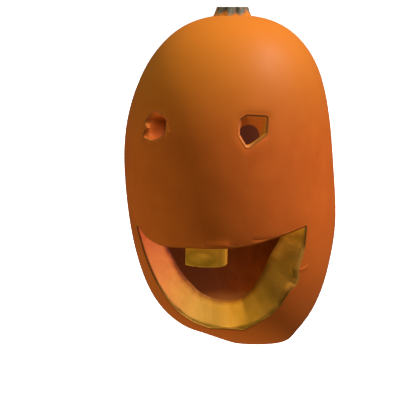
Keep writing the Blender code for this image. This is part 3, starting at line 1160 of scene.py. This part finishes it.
    def mark_points(self) -> np.ndarray:
        """Points along both sides of every mark, as metres on the flat chart."""
        rows = []
        for mark in self.marks:
            corners = self.flat(np.array(mark.line), self.form.widest_radius)
            for start, end in zip(corners, corners[1:]):
                way = end - start
                length = float(np.linalg.norm(way))
                side = np.array([-way[1], way[0]]) / length
                shares = np.linspace(0.0, 1.0, max(2, round(length / self.step)), endpoint=False)
                middle = start + shares[:, None] * way
                rows += [middle + side * mark.width * reach for reach in self.mark_rows]
        points = np.concatenate(rows)
        gaps = np.linalg.norm(points[:, None, :] - points[None, :, :], axis=2)
        crowded = np.tril(gaps < self.mark_gap, -1).any(axis=1)
        return points[~crowded]

    def strip(
        self, loops: list[np.ndarray], arc: float, low: float, high: float, sides: int, rows: int,
        extra: np.ndarray | None = None,
    ) -> tuple[np.ndarray, list[list[int]]]:
        """Fills a strip of the chart all the way round, with holes for the cuts.

        Args:
            loops: The holes' outlines, as rows of angle and height.
            arc: The radius that turns angles into metres.
            low: The strip's lower height.
            high: The strip's upper height.
            sides: How many points there are round it.
            rows: How many rows of them there are.
            extra: More points, as metres on the flat chart.

        Returns:
            Rows of angle and height, and triangles that face the viewer.
        """
        half = math.pi * arc
        heights = np.linspace(low, high, rows + 1)
        spacing = 2 * half / sides
        flat_loops = [self.flat(loop, arc) for loop in loops]
        grid = []
        for row, height in enumerate(heights):
            border = row in (0, rows)
            shift = 0.5 if row % 2 and not border else 0.0
            across = -half + spacing * (np.arange(sides + 1) + shift)
            across = across[across < half - spacing * 0.25]
            across = np.concatenate([[-half], across[1:] if shift == 0.0 else across, [half]])
            grid.append(np.stack([across, np.full(len(across), height)], axis=-1))
        grid = np.concatenate(grid)
        keep = np.ones(len(grid), bool)
        rings = []
        for loop, flat_loop in zip(loops, flat_loops):
            keep &= ~inside(grid, flat_loop) & (gap_to(grid, flat_loop) > self.grid_to_cut)
            for distance, every in self.cut_rings:
                ring = flat_loop + Cut.outward(loop, arc) * distance
                ring = ring[::every]
                clear = gap_to(ring, flat_loop) > distance * self.ring_clearance
                rings.append(ring[clear & ~inside(ring, flat_loop)])
        corners = np.concatenate(flat_loops)
        if extra is not None:
            rings = [ring[gap_to(ring, extra) > self.ring_to_mark] for ring in rings]
            clear = gap_to(extra, corners) > self.mark_to_cut
            for flat_loop in flat_loops:
                clear &= ~inside(extra, flat_loop)
            extra = extra[clear]
            keep &= gap_to(grid, extra) > self.grid_to_mark
            rings.append(extra)
        borders, start = [], 0
        for loop in flat_loops:
            count = len(loop)
            borders += [(start + i, start + (i + 1) % count) for i in range(count)]
            start += count
        spots = np.concatenate([corners, *rings, grid[keep]])
        done = geometry.delaunay_2d_cdt([Vector(spot) for spot in spots], borders, [], 0, 1e-7)
        found = np.array([(v[0], v[1]) for v in done[0]])
        faces = np.array(done[2])
        middles = found[faces].mean(axis=1)
        open_face = np.zeros(len(faces), bool)
        for loop in flat_loops:
            open_face |= inside(middles, loop)
        faces = faces[~open_face]
        a, b, c = (found[faces[:, i]] for i in range(3))
        clockwise = (b[:, 0] - a[:, 0]) * (c[:, 1] - a[:, 1]) < (c[:, 0] - a[:, 0]) * (b[:, 1] - a[:, 1])
        faces[clockwise] = faces[clockwise][:, ::-1]
        return np.stack([np.degrees(found[:, 0] / arc), found[:, 1]], axis=-1), faces.tolist()

    def add_cap(
        self, chart: Chart, rings: list[Span], sides: int, layer: Layer, depth: float, flip: bool
    ) -> None:
        """Adds rings of height and inset that close one end of a strip.

        Args:
            chart: What they are added to.
            rings: Each ring's height and inset, from the strip to the pole.
            sides: How many points a ring has.
            layer: What they show.
            depth: The share of the wall above them.
            flip: Whether the faces are turned over.
        """
        angles = -180.0 + 360.0 * np.arange(sides) / sides
        firsts = []
        for height, inset in rings:
            points = np.column_stack([angles, np.full(sides, height), np.full(sides, inset)])
            firsts.append(chart.add_points(points, depth, 0.0, 1.0))
        faces = []
        for low, high in zip(firsts, firsts[1:]):
            for side in range(sides):
                after = (side + 1) % sides
                face = [low + side, low + after, high + after, high + side]
                faces.append(face[::-1] if flip else face)
        last = [firsts[-1] + side for side in range(sides)]
        faces.append(last[::-1] if flip else last)
        chart.add_faces(faces, layer)

    def add_wall(self, chart: Chart, cut: Cut, sink: np.ndarray) -> None:
        """Adds the wall of a cut, from the rind to the hollow.

        Args:
            chart: What it is added to.
            cut: The cut.
            sink: How far the rind is set in at each point of the cut's edge.
        """
        rows = cut.wall_rows(self.form, sink)
        spots = self.form.place(cut.rind_line[:, 0], cut.rind_line[:, 1])
        steps = np.linalg.norm(np.roll(spots, -1, axis=0) - spots, axis=1)
        along = np.concatenate([[0.0], np.cumsum(steps)[:-1]])
        count = len(along)
        first_share, last_share = cut.round_span
        around = first_share + (last_share - first_share) * along / (along[-1] + steps[-1])
        firsts = []
        for row in rows:
            firsts.append(chart.add_points(row, row[:, 2] / self.form.wall, along, 0.0, around))
        faces = []
        for here, deeper in zip(firsts, firsts[1:]):
            for i in range(count):
                after = (i + 1) % count
                faces.append([here + i, deeper + i, deeper + after, here + after])
        chart.add_faces(faces, cut.layer)

    def draw(self) -> Chart:
        """Draws the whole pumpkin.

        Returns:
            The chart.
        """
        form = self.form
        cuts = [
            self.mouth(),
            self.eye(self.right_eye, self.right_eye_hole, (0.0, 0.48), 0),
            self.eye(self.left_eye, self.left_eye_hole, (0.52, 1.0), 150),
        ]
        chart = Chart()
        loops = [cut.rind_loop(form) for cut in cuts]
        points, faces = self.strip(
            loops, form.widest_radius, self.rind_low, self.rind_high, self.rind_sides, self.rind_rows,
            self.mark_points(),
        )
        sink = self.sink(cuts, points[:, 0], points[:, 1])
        flat_loops = [self.flat(loop, form.widest_radius) for loop in loops]
        edge = gap_to(self.flat(points, form.widest_radius), np.concatenate(flat_loops))
        first = chart.add_points(np.column_stack([points, sink]), 0.0, 0.0, edge)
        chart.add_faces([[first + i for i in face] for face in faces], Layer.RIND)
        for cut, loop in zip(cuts, loops):
            self.add_wall(chart, cut, self.sink(cuts, loop[:, 0], loop[:, 1]))

        inner_arc = form.widest_radius - form.wall
        loops = [cut.hollow_loop(form) for cut in cuts]
        points, faces = self.strip(
            loops, inner_arc, self.hollow_low, self.hollow_high, self.hollow_sides, self.hollow_rows
        )
        first = chart.add_points(np.column_stack([points, np.full(len(points), form.wall)]), 1.0, 0.0, 0.0)
        chart.add_faces([[first + i for i in face[::-1]] for face in faces], Layer.HOLLOW)

        heights = form.ring_heights(True, 0.0, self.rind_high, self.pole_radius, self.cap_rings)
        crown = [(height, 0.0) for height in (self.rind_high, *heights)]
        self.add_cap(chart, crown, self.rind_sides, Layer.RIND, 0.0, False)
        flat_radius = float(form.radius_at(np.array(0.0)))
        heights = form.ring_heights(False, 0.0, self.rind_low, flat_radius, self.base_rings)
        base = [(height, 0.0) for height in (self.rind_low, *heights)]
        closing = form.bottom_drop - form.widest_height
        base += [(0.0, closing * share) for share in self.base_shares]
        self.add_cap(chart, base, self.rind_sides, Layer.RIND, 0.0, True)
        for above, start in ((True, self.hollow_high), (False, self.hollow_low)):
            heights = form.ring_heights(
                above, form.wall, start, self.hollow_pole_radius, self.hollow_cap_rings
            )
            rings = [(height, form.wall) for height in (start, *heights)]
            self.add_cap(chart, rings, self.hollow_sides, Layer.HOLLOW, 1.0, above)
        return chart

    def relief_tree(self, lifting: Tree, finishes: dict[Layer, bpy.types.Material]) -> Tree:
        """Builds the tree that lifts, welds and works the skin.

        Args:
            lifting: The group that lifts a chart onto the form.
            finishes: The material of each layer.

        Returns:
            The tree.
        """
        sizes = self.form.inputs() | self.relief_inputs()
        tree, given = new_geometry_tree("carve_pumpkin", sizes)
        size = given.outputs
        lift = add(tree, "GeometryNodeGroup", out=None, node_tree=lifting)
        for socket in lift.inputs:
            tree.links.new(size[socket.name], socket)
        skin = add(tree, "GeometryNodeMergeByDistance", {"Geometry": lift.outputs[0], "Distance": WELD})
        depth = add(tree, "GeometryNodeInputNamedAttribute", {"Name": "depth"}, data_type="FLOAT")
        along = add(tree, "GeometryNodeInputNamedAttribute", {"Name": "along"}, data_type="FLOAT")
        spot = add(tree, "GeometryNodeInputPosition")
        normal = add(tree, "GeometryNodeInputNormal")

        strokes = add(tree, MATH, [along, size["Stroke Length"]], operation="DIVIDE")
        strokes = add(tree, JOIN, [strokes, depth, size["Seed"]])
        strokes = add(tree, NOISE, {"Vector": strokes, "Scale": 1.0, "Detail": 1.0})
        strokes = add(tree, MATH, [strokes, 0.5], operation="SUBTRACT")
        strokes = add(tree, MATH, [strokes, size["Stroke Depth"]], operation="MULTIPLY")
        fibres = add(tree, MATH, [along, size["Fibre Width"]], operation="DIVIDE")
        lengthways = add(tree, MATH, [depth, 2.5], operation="MULTIPLY")
        fibres = add(tree, JOIN, [fibres, lengthways, size["Seed"]])
        fibres = add(tree, NOISE, {"Vector": fibres, "Scale": 1.0, "Detail": 2.0})
        fibres = add(tree, MATH, [fibres, 0.5], operation="SUBTRACT")
        knife = add(tree, MATH, [fibres, size["Fibre Depth"], strokes], operation="MULTIPLY_ADD")
        inner = add(tree, MATH, [1.0, depth], operation="SUBTRACT")
        mask = add(tree, MATH, [depth, inner], operation="MULTIPLY")
        mask = add(tree, MATH, [mask, 4.0], operation="MULTIPLY")
        knife = add(tree, MATH, [knife, mask], operation="MULTIPLY")

        spoon = add(tree, VECTOR_MATH, [spot, (1.0, 1.0, 0.45)], operation="MULTIPLY")
        pitch = add(tree, MATH, [1.0, size["Scoop Width"]], operation="DIVIDE")
        spoon = add(tree, NOISE, {"Vector": spoon, "Scale": pitch, "Detail": 3.0, "Roughness": 0.6})
        spoon = add(tree, MATH, [spoon, 0.5], operation="SUBTRACT")
        spoon = add(tree, MATH, [spoon, size["Scoop Depth"]], operation="MULTIPLY")
        scooped = add(tree, MATH, [depth, 0.999], operation="GREATER_THAN")
        spoon = add(tree, MATH, [spoon, scooped], operation="MULTIPLY")

        swell = add(tree, MATH, [1.0, size["Lump Width"]], operation="DIVIDE")
        lumps = add(tree, NOISE, {"Vector": spot, "Scale": swell, "Detail": 1.0})
        lumps = add(tree, MATH, [lumps, 1.0], operation="SUBTRACT")
        lumps = add(tree, MATH, [lumps, size["Lump Depth"]], operation="MULTIPLY")
        grown = add(tree, MATH, [depth, 0.001], operation="LESS_THAN")
        lumps = add(tree, MATH, [lumps, grown], operation="MULTIPLY")

        relief = add(tree, MATH, [knife, spoon], operation="ADD")
        relief = add(tree, MATH, [relief, lumps], operation="ADD")
        for dent in self.dents:
            relief = dent.press(tree, spot, grown, relief)
        offset = add(tree, VECTOR_MATH, {0: normal, "Scale": relief}, operation="SCALE")
        skin = add(tree, "GeometryNodeSetPosition", {"Geometry": skin, "Offset": offset})
        skin = add(tree, "GeometryNodeRealizeInstances", [skin])
        layer = add(tree, "GeometryNodeInputNamedAttribute", {"Name": "layer"}, data_type="INT")
        for kind, material in finishes.items():
            shown = add(
                tree, "FunctionNodeCompare", {"A": layer, "B": kind.value}, data_type="INT", operation="EQUAL"
            )
            skin = add(tree, "GeometryNodeSetMaterial", {
                "Geometry": skin, "Selection": shown, "Material": material
            })
        add(tree, "NodeGroupOutput", [skin], out=None)
        return tree

    @staticmethod
    def relief_inputs() -> dict[str, float]:
        """The relief of knife, spoon and growth.

        Returns:
            The tree's named inputs.
        """
        return {
            "Stroke Length": 0.023,
            "Stroke Depth": 0.0008,
            "Fibre Width": 0.0017,
            "Fibre Depth": 0.0002,
            "Scoop Width": 0.014,
            "Scoop Depth": 0.0030,
            "Lump Width": 0.045,
            "Lump Depth": 0.0006,
            "Seed": 3.7,
        }

    def build(self, lifting: Tree, finishes: dict[Layer, bpy.types.Material]) -> bpy.types.Object:
        """Makes the pumpkin's skin.

        Args:
            lifting: The group that lifts a chart onto the form.
            finishes: The material of each layer.

        Returns:
            The piece.
        """
        mesh = self.draw().make_mesh("pumpkin_chart")
        tree = self.relief_tree(lifting, finishes)
        piece = grow(mesh, "pumpkin_rind_and_flesh", tree, self.form.inputs() | self.relief_inputs())
        close_outwards(piece)
        return piece


@dataclass
class Tooth:
    """The one tooth: a squared block of flesh under the lip, pillowed in front and rounded at its edges."""

    form: Form
    left: float = -13.8
    right: float = 11.2
    top: float = 0.1220
    tip: float = 0.0948
    front_depth: float = 0.0035
    thickness: float = 0.0210
    crowning: float = 0.0016
    rounding: float = 0.0010
    lean: float = 0.0007
    bevel: Span = (0.0068, 0.0026)
    # The pillow's middle is this far across, and its height is counted over what shows under the lip
    pillow: float = 0.0011
    pillow_place: float = -0.22
    pillow_spread: Span = (0.50, 0.55)
    pillow_drop: float = 0.32
    nick_place: float = -0.42
    nick_width: float = 0.05
    nick_depth: float = 0.0009
    # Which tone of its flesh shows: by the way from the pillow's middle, on the bevel and on the rim. These
    # are painted light and shade: a lit pillow and rim, a darker bevel
    pillow_tone: float = 0.45
    face_tone: float = 0.85
    bevel_tone: float = 0.65
    rim_tone: float = 1.0
    rim_share: float = 0.6
    cuts: int = 39

    def rounded(self, spot: Vector, half: Vector) -> Vector:
        """Rounds the block's edges, and slopes the one on +X back in a wide bevel.

        Args:
            spot: A point of the square block.
            half: Half of the block's size.

        Returns:
            Where the point comes to lie.
        """
        reach = Vector((self.rounding, self.rounding, self.rounding))
        if spot.x > 0.0 and spot.y < 0.0:
            reach = Vector((self.bevel[0], self.bevel[1], self.rounding))
        core = Vector([max(-(h - r), min(h - r, c)) for c, h, r in zip(spot, half, reach)])
        out = Vector([(c - k) / r for c, k, r in zip(spot, core, reach)])
        if out.length <= 1.0:
            return spot
        out.normalize()
        return core + Vector([o * r for o, r in zip(out, reach)])

    def build(self, material: bpy.types.Material) -> bpy.types.Object:
        """Makes the tooth.

        Args:
            material: Its finish.

        Returns:
            The piece.
        """
        shell = bmesh.new()
        bmesh.ops.create_cube(shell, size=2.0)
        bmesh.ops.subdivide_edges(shell, edges=shell.edges, cuts=self.cuts, use_grid_fill=True)
        radius = float(self.form.radius_at(np.array(self.tip))) - self.front_depth
        half = Vector((
            radius * math.radians(self.right - self.left) / 2, self.thickness / 2, (self.top - self.tip) / 2
        ))
        tones = []
        for vertex in shell.verts:
            spread = Vector([math.sin(c * math.pi / 2) for c in vertex.co])
            full = Vector([s * h for s, h in zip(spread, half)])
            rim = min(half.x + full.x, half.z + full.z)
            full = self.rounded(full, half)
            across, deep, up = (full[i] / half[i] for i in range(3))
            front = max(0.0, -deep)
            shown = (up + self.pillow_drop) / (1.0 - self.pillow_drop)
            wide, tall = self.pillow_spread
            away = math.hypot((across - self.pillow_place) / wide, shown / tall)
            full.y -= self.pillow * front * math.exp(-away ** 2)
            # Painted highlight on the pillow and the rim, painted shade on the bevel
            tone = min(away * self.pillow_tone, self.face_tone)
            if full.x > half.x - self.bevel[0]:
                tone = self.bevel_tone
            if rim < self.rounding * self.rim_share:
                tone = self.rim_tone
            tones.append(tone)
            low = (1.0 - up) / 2
            notch = math.exp(-(((across - self.nick_place) / self.nick_width) ** 2))
            nick = self.nick_depth * notch * front
            full.z += low * (self.crowning * across ** 2 + nick)
            full.x -= low * self.lean
            turn = math.radians((self.left + self.right) / 2) + full.x / radius
            reach = radius - (full.y + half.y)
            vertex.co = (math.sin(turn) * reach, -math.cos(turn) * reach, (self.top + self.tip) / 2 + full.z)
        bmesh.ops.recalc_face_normals(shell, faces=shell.faces)
        mesh = bpy.data.meshes.new("tooth")
        shell.to_mesh(mesh)
        shell.free()
        values = {
            "depth": np.array(tones),
            "along": np.array([vertex.co.x for vertex in mesh.vertices]),
            "round": np.full(len(tones), 0.5),
        }
        for label, value in values.items():
            mesh.attributes.new(label, "FLOAT", "POINT").data.foreach_set("value", value)
        for polygon in mesh.polygons:
            polygon.use_smooth = True
        mesh.materials.append(material)
        piece = bpy.data.objects.new("tooth", mesh)
        bpy.context.scene.collection.objects.link(piece)
        return piece


@dataclass
class Stem:
    """The stub of stem: ribs that flare into the crown, and a rough cut face."""

    form: Form
    foot: float = 0.3550
    top: float = 0.3676
    offset: float = 0.0024
    offset_towards: float = 286.0
    foot_radius: float = 0.0220
    waist_radius: float = 0.0198
    top_radius: float = 0.0158
    ribs: float = 8.0
    rib_depth: float = 0.0012
    twist: float = 0.25
    sides: int = 160
    rows: int = 44
    # The share of the grid that makes the side. The rest is the cut face
    side_share: float = 0.72
    flare_power: float = 3.2
    unevenness: float = 2.6
    face_drop: float = 0.0007
    # Bark pits are 2.4 mm across. They sink from a middle that keeps the stub inside its solid
    bark_pitch: float = 420.0
    bark_middle: float = 0.7
    bark_depth: float = 0.0010

    def inputs(self) -> dict[str, float]:
        """The sizes that the tree takes.

        Returns:
            Its named inputs.
        """
        return {
            "Foot": self.foot,
            "Top": self.top,
            "Offset Across": math.sin(math.radians(self.offset_towards)) * self.offset,
            "Offset Deep": -math.cos(math.radians(self.offset_towards)) * self.offset,
            "Foot Radius": self.foot_radius,
            "Waist Radius": self.waist_radius,
            "Top Radius": self.top_radius,
            "Ribs": self.ribs,
            "Rib Depth": self.rib_depth,
            "Twist": self.twist,
            "Seed": 1.3,
        }

    def tree(self, material: bpy.types.Material) -> Tree:
        """Builds the tree that rolls a grid into the ribbed stub.

        Args:
            material: The stem's finish.

        Returns:
            The tree. A grid's X is the share round the stem, and its Y the share up it and over its face.
        """
        tree, given = new_geometry_tree("ribbed_stem", self.inputs())
        size = given.outputs
        spot = add(tree, "GeometryNodeInputPosition")
        around, way, _ = add(tree, SPLIT, [spot], out=None).outputs
        angle = add(tree, MATH, [around, 2 * math.pi], operation="MULTIPLY")
        sine = add(tree, MATH, [angle], operation="SINE")
        cosine = add(tree, MATH, [angle], operation="COSINE")
        up = add(tree, RANGE, {"Value": way, "From Max": self.side_share})
        over = add(tree, RANGE, {"Value": way, "From Min": self.side_share, "From Max": 1.0})

        flare = add(tree, MATH, [1.0, up], operation="SUBTRACT")
        flare = add(tree, MATH, [flare, self.flare_power], operation="POWER")
        straight = add(tree, MATH, [size["Top Radius"], size["Waist Radius"]], operation="SUBTRACT")
        radius = add(tree, MATH, [straight, up, size["Waist Radius"]], operation="MULTIPLY_ADD")
        foot = add(tree, MATH, [size["Foot Radius"], size["Waist Radius"]], operation="SUBTRACT")
        radius = add(tree, MATH, [foot, flare, radius], operation="MULTIPLY_ADD")

        turned = add(tree, MATH, [up, size["Twist"], angle], operation="MULTIPLY_ADD")
        rib = add(tree, MATH, [turned, size["Ribs"]], operation="MULTIPLY")
        rib = add(tree, MATH, [rib], operation="COSINE")
        ring = add(tree, JOIN, [cosine, sine, size["Seed"]])
        uneven = add(tree, NOISE, {"Vector": ring, "Scale": self.unevenness, "Detail": 2.0})
        swing = add(tree, RANGE, {
            "Value": uneven, "From Min": 0.3, "From Max": 0.7, "To Min": 0.5, "To Max": 1.5
        })
        swell = add(tree, MATH, [rib, swing], operation="MULTIPLY")
        radius = add(tree, MATH, [swell, size["Rib Depth"], radius], operation="MULTIPLY_ADD")
        left = add(tree, MATH, [1.0, over], operation="SUBTRACT")
        radius = add(tree, MATH, [radius, left], operation="MULTIPLY")

        rise = add(tree, MATH, [size["Top"], size["Foot"]], operation="SUBTRACT")
        height = add(tree, MATH, [rise, up, size["Foot"]], operation="MULTIPLY_ADD")
        dish = add(tree, MATH, [over, 5.0], operation="MULTIPLY")
        dish = add(tree, MATH, [dish, 1.0], operation="MINIMUM")
        height = add(tree, MATH, [dish, -self.face_drop, height], operation="MULTIPLY_ADD")
        across = add(tree, MATH, [sine, radius, size["Offset Across"]], operation="MULTIPLY_ADD")
        deep = add(tree, MATH, [cosine, radius, size["Offset Deep"]], operation="MULTIPLY_ADD")
        place = add(tree, JOIN, [across, deep, height])
        stub = add(tree, "GeometryNodeStoreNamedAttribute", {
            "Geometry": size["Geometry"], "Name": "rib", "Value": swell
        }, data_type="FLOAT", domain="POINT")
        stub = add(tree, "GeometryNodeSetPosition", {"Geometry": stub, "Position": place})
        stub = add(tree, "GeometryNodeMergeByDistance", {"Geometry": stub, "Distance": WELD})
        normal = add(tree, "GeometryNodeInputNormal")
        bark = add(tree, NOISE, {"Vector": spot, "Scale": self.bark_pitch, "Detail": 3.0})
        bark = add(tree, MATH, [bark, self.bark_middle], operation="SUBTRACT")
        bark = add(tree, MATH, [bark, self.bark_depth], operation="MULTIPLY")
        offset = add(tree, VECTOR_MATH, {0: normal, "Scale": bark}, operation="SCALE")
        stub = add(tree, "GeometryNodeSetPosition", {"Geometry": stub, "Offset": offset})
        stub = add(tree, "GeometryNodeRealizeInstances", [stub])
        stub = add(tree, "GeometryNodeSetMaterial", {"Geometry": stub, "Material": material})
        add(tree, "NodeGroupOutput", [stub], out=None)
        return tree

    def build(self, material: bpy.types.Material) -> bpy.types.Object:
        """Makes the stub.

        Args:
            material: Its finish.

        Returns:
            The piece.
        """
        points, faces = [], []
        for row in range(self.rows + 1):
            for side in range(self.sides + 1):
                points.append((side / self.sides, row / self.rows, 0.0))
        for row in range(self.rows):
            for side in range(self.sides):
                first = row * (self.sides + 1) + side
                faces.append([first, first + 1, first + self.sides + 2, first + self.sides + 1])
        mesh = bpy.data.meshes.new("stem_grid")
        mesh.from_pydata(points, [], faces)
        piece = grow(mesh, "stem_stub", self.tree(material), self.inputs())
        close_outwards(piece, fill=True)
        return piece


@dataclass(frozen=True)
class Lamp:
    """A soft lamp of the studio, far enough off to light the whole pumpkin alike."""

    name: str
    angle: float
    elevation: float
    power: float
    colour: str
    spread: float = 10.0
    gloss: bool = False


@dataclass
class Studio:
    """The camera, the lights and the pale tent."""

    middle: tuple[float, float, float] = (0.0, 0.0, 0.177)
    turn: float = 16.0
    elevation: float = 5.0
    distance: float = 2.2
    lens: float = 171.9
    aim_left: float = 0.0268
    aim_below: float = 0.0313
    tent: float = 8.0
    ambient: float = 0.05

    def build(self) -> None:
        """Makes the camera, the lights and the tent."""
        self.make_camera()
        self.make_tent()
        self.make_lights()
        bpy.context.scene.view_settings.view_transform = "Standard"

    def make_camera(self) -> None:
        """Sets the camera at the fitted place."""
        back = self.towards(self.turn, self.elevation)
        right = Vector((math.cos(math.radians(self.turn)), math.sin(math.radians(self.turn)), 0.0))
        up = back.cross(right)
        place = Vector(self.middle) + back * self.distance
        aim = Vector(self.middle) - right * self.aim_left - up * self.aim_below
        data = bpy.data.cameras.new("camera")
        data.sensor_width = 36.0
        data.lens = self.lens
        camera = bpy.data.objects.new("camera", data)
        camera.location = place
        camera.rotation_mode = "QUATERNION"
        camera.rotation_quaternion = (aim - place).to_track_quat("-Z", "Y")
        bpy.context.scene.collection.objects.link(camera)
        bpy.context.scene.camera = camera

    @staticmethod
    def towards(angle: float, elevation: float) -> Vector:
        """The unit vector that points away from the pumpkin at an angle and an elevation."""
        turn, rise = math.radians(angle), math.radians(elevation)
        return Vector((math.sin(turn) * math.cos(rise), -math.cos(turn) * math.cos(rise), math.sin(rise)))

    def make_tent(self) -> None:
        """Makes the pale tent of paper round the pumpkin, with its floor."""
        sides, rings = 48, 12
        points = [(0.0, 0.0, 0.0), (0.0, 0.0, self.tent)]
        for ring in range(rings):
            rise = math.pi / 2 * ring / rings
            for side in range(sides):
                turn = 2 * math.pi * side / sides
                level = self.tent * math.cos(rise)
                points.append((level * math.cos(turn), level * math.sin(turn), self.tent * math.sin(rise)))
        faces = []
        for side in range(sides):
            after = (side + 1) % sides
            faces.append([0, 2 + side, 2 + after])
            for ring in range(rings - 1):
                low, high = 2 + ring * sides, 2 + (ring + 1) * sides
                faces.append([low + after, low + side, high + side, high + after])
            last = 2 + (rings - 1) * sides
            faces.append([last + after, last + side, 1])
        mesh = bpy.data.meshes.new("tent")
        mesh.from_pydata(points, [], faces)
        # Background paper, white and matt: it gives the eye an even ground with no seam
        tree, material = new_material("pale_paper")
        shader = add(tree, "ShaderNodeBsdfPrincipled", {
            "Base Color": linear("F4F4F4"), "Roughness": 0.9, "Emission Color": linear("FFFFFF"),
            "Emission Strength": 1.0,
        })
        add(tree, "ShaderNodeOutputMaterial", [shader], out=None)
        mesh.materials.append(material)
        tent = bpy.data.objects.new("tent", mesh)
        tent.visible_diffuse = False
        tent.visible_glossy = False
        bpy.context.scene.collection.objects.link(tent)

    def make_lights(self) -> None:
        """Makes the soft studio lights: a broad key, a high fill, a bounce off the floor and one behind."""
        rig = [
            Lamp("key", angle=88.9, elevation=49.4, power=4.35, colour="FFF8FA", gloss=True),
            Lamp("high_fill", angle=-39.4, elevation=55.0, power=1.32, colour="F4FFD8"),
            Lamp("bounce", angle=-77.1, elevation=-66.5, power=1.72, colour="FFFFE0"),
            Lamp("behind", angle=196.0, elevation=-5.0, power=1.60, colour="FFFAF0", spread=4.0),
        ]
        for lamp in rig:
            data = bpy.data.lights.new(lamp.name, "SUN")
            data.energy = lamp.power
            data.angle = math.radians(lamp.spread)
            data.color = linear(lamp.colour)[:3]
            # The photo's lamps cast no shadow, so the cuts and the hollow are lit as the outside is
            data.use_shadow = False
            light = bpy.data.objects.new(lamp.name, data)
            way = self.towards(lamp.angle, lamp.elevation)
            light.location = Vector(self.middle) + way * self.distance
            light.rotation_mode = "QUATERNION"
            light.rotation_quaternion = (-way).to_track_quat("-Z", "Y")
            light.visible_glossy = lamp.gloss
            bpy.context.scene.collection.objects.link(light)
        world = bpy.data.worlds.new("world")
        bpy.context.scene.world = world
        world.use_nodes = True
        background = world.node_tree.nodes["Background"]
        background.inputs["Color"].default_value = linear("FFFFFF")
        background.inputs["Strength"].default_value = self.ambient


def main() -> None:
    """Builds the lantern's pieces in order and reports each of them."""
    logging.basicConfig(level=logging.INFO, format="%(name)s: %(message)s", stream=sys.stdout)
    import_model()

    form = Form()
    lifting = form.lifting_tree()
    finishes = {
        Layer.RIND: Rind().make(),
        Layer.MOUTH_FLESH: GRIN_FLESH.make(),
        Layer.EYE_FLESH: EYE_FLESH.make(),
        Layer.HOLLOW: ScoopedFlesh().make(),
    }
    stem = Stem(form)
    pieces = [
        (CarvedPumpkin(form).build(lifting, finishes), Slot.RIND),
        (Tooth(form).build(TOOTH_FLESH.make()), Slot.FLESH),
        (stem.build(CorkyStem().make(stem.foot, stem.top)), Slot.STEM),
    ]
    for piece, slot in pieces:
        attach(piece, BODY)
        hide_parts(NODE)
        report(piece)
    Studio().build()


if __name__ == "__main__":
    main()
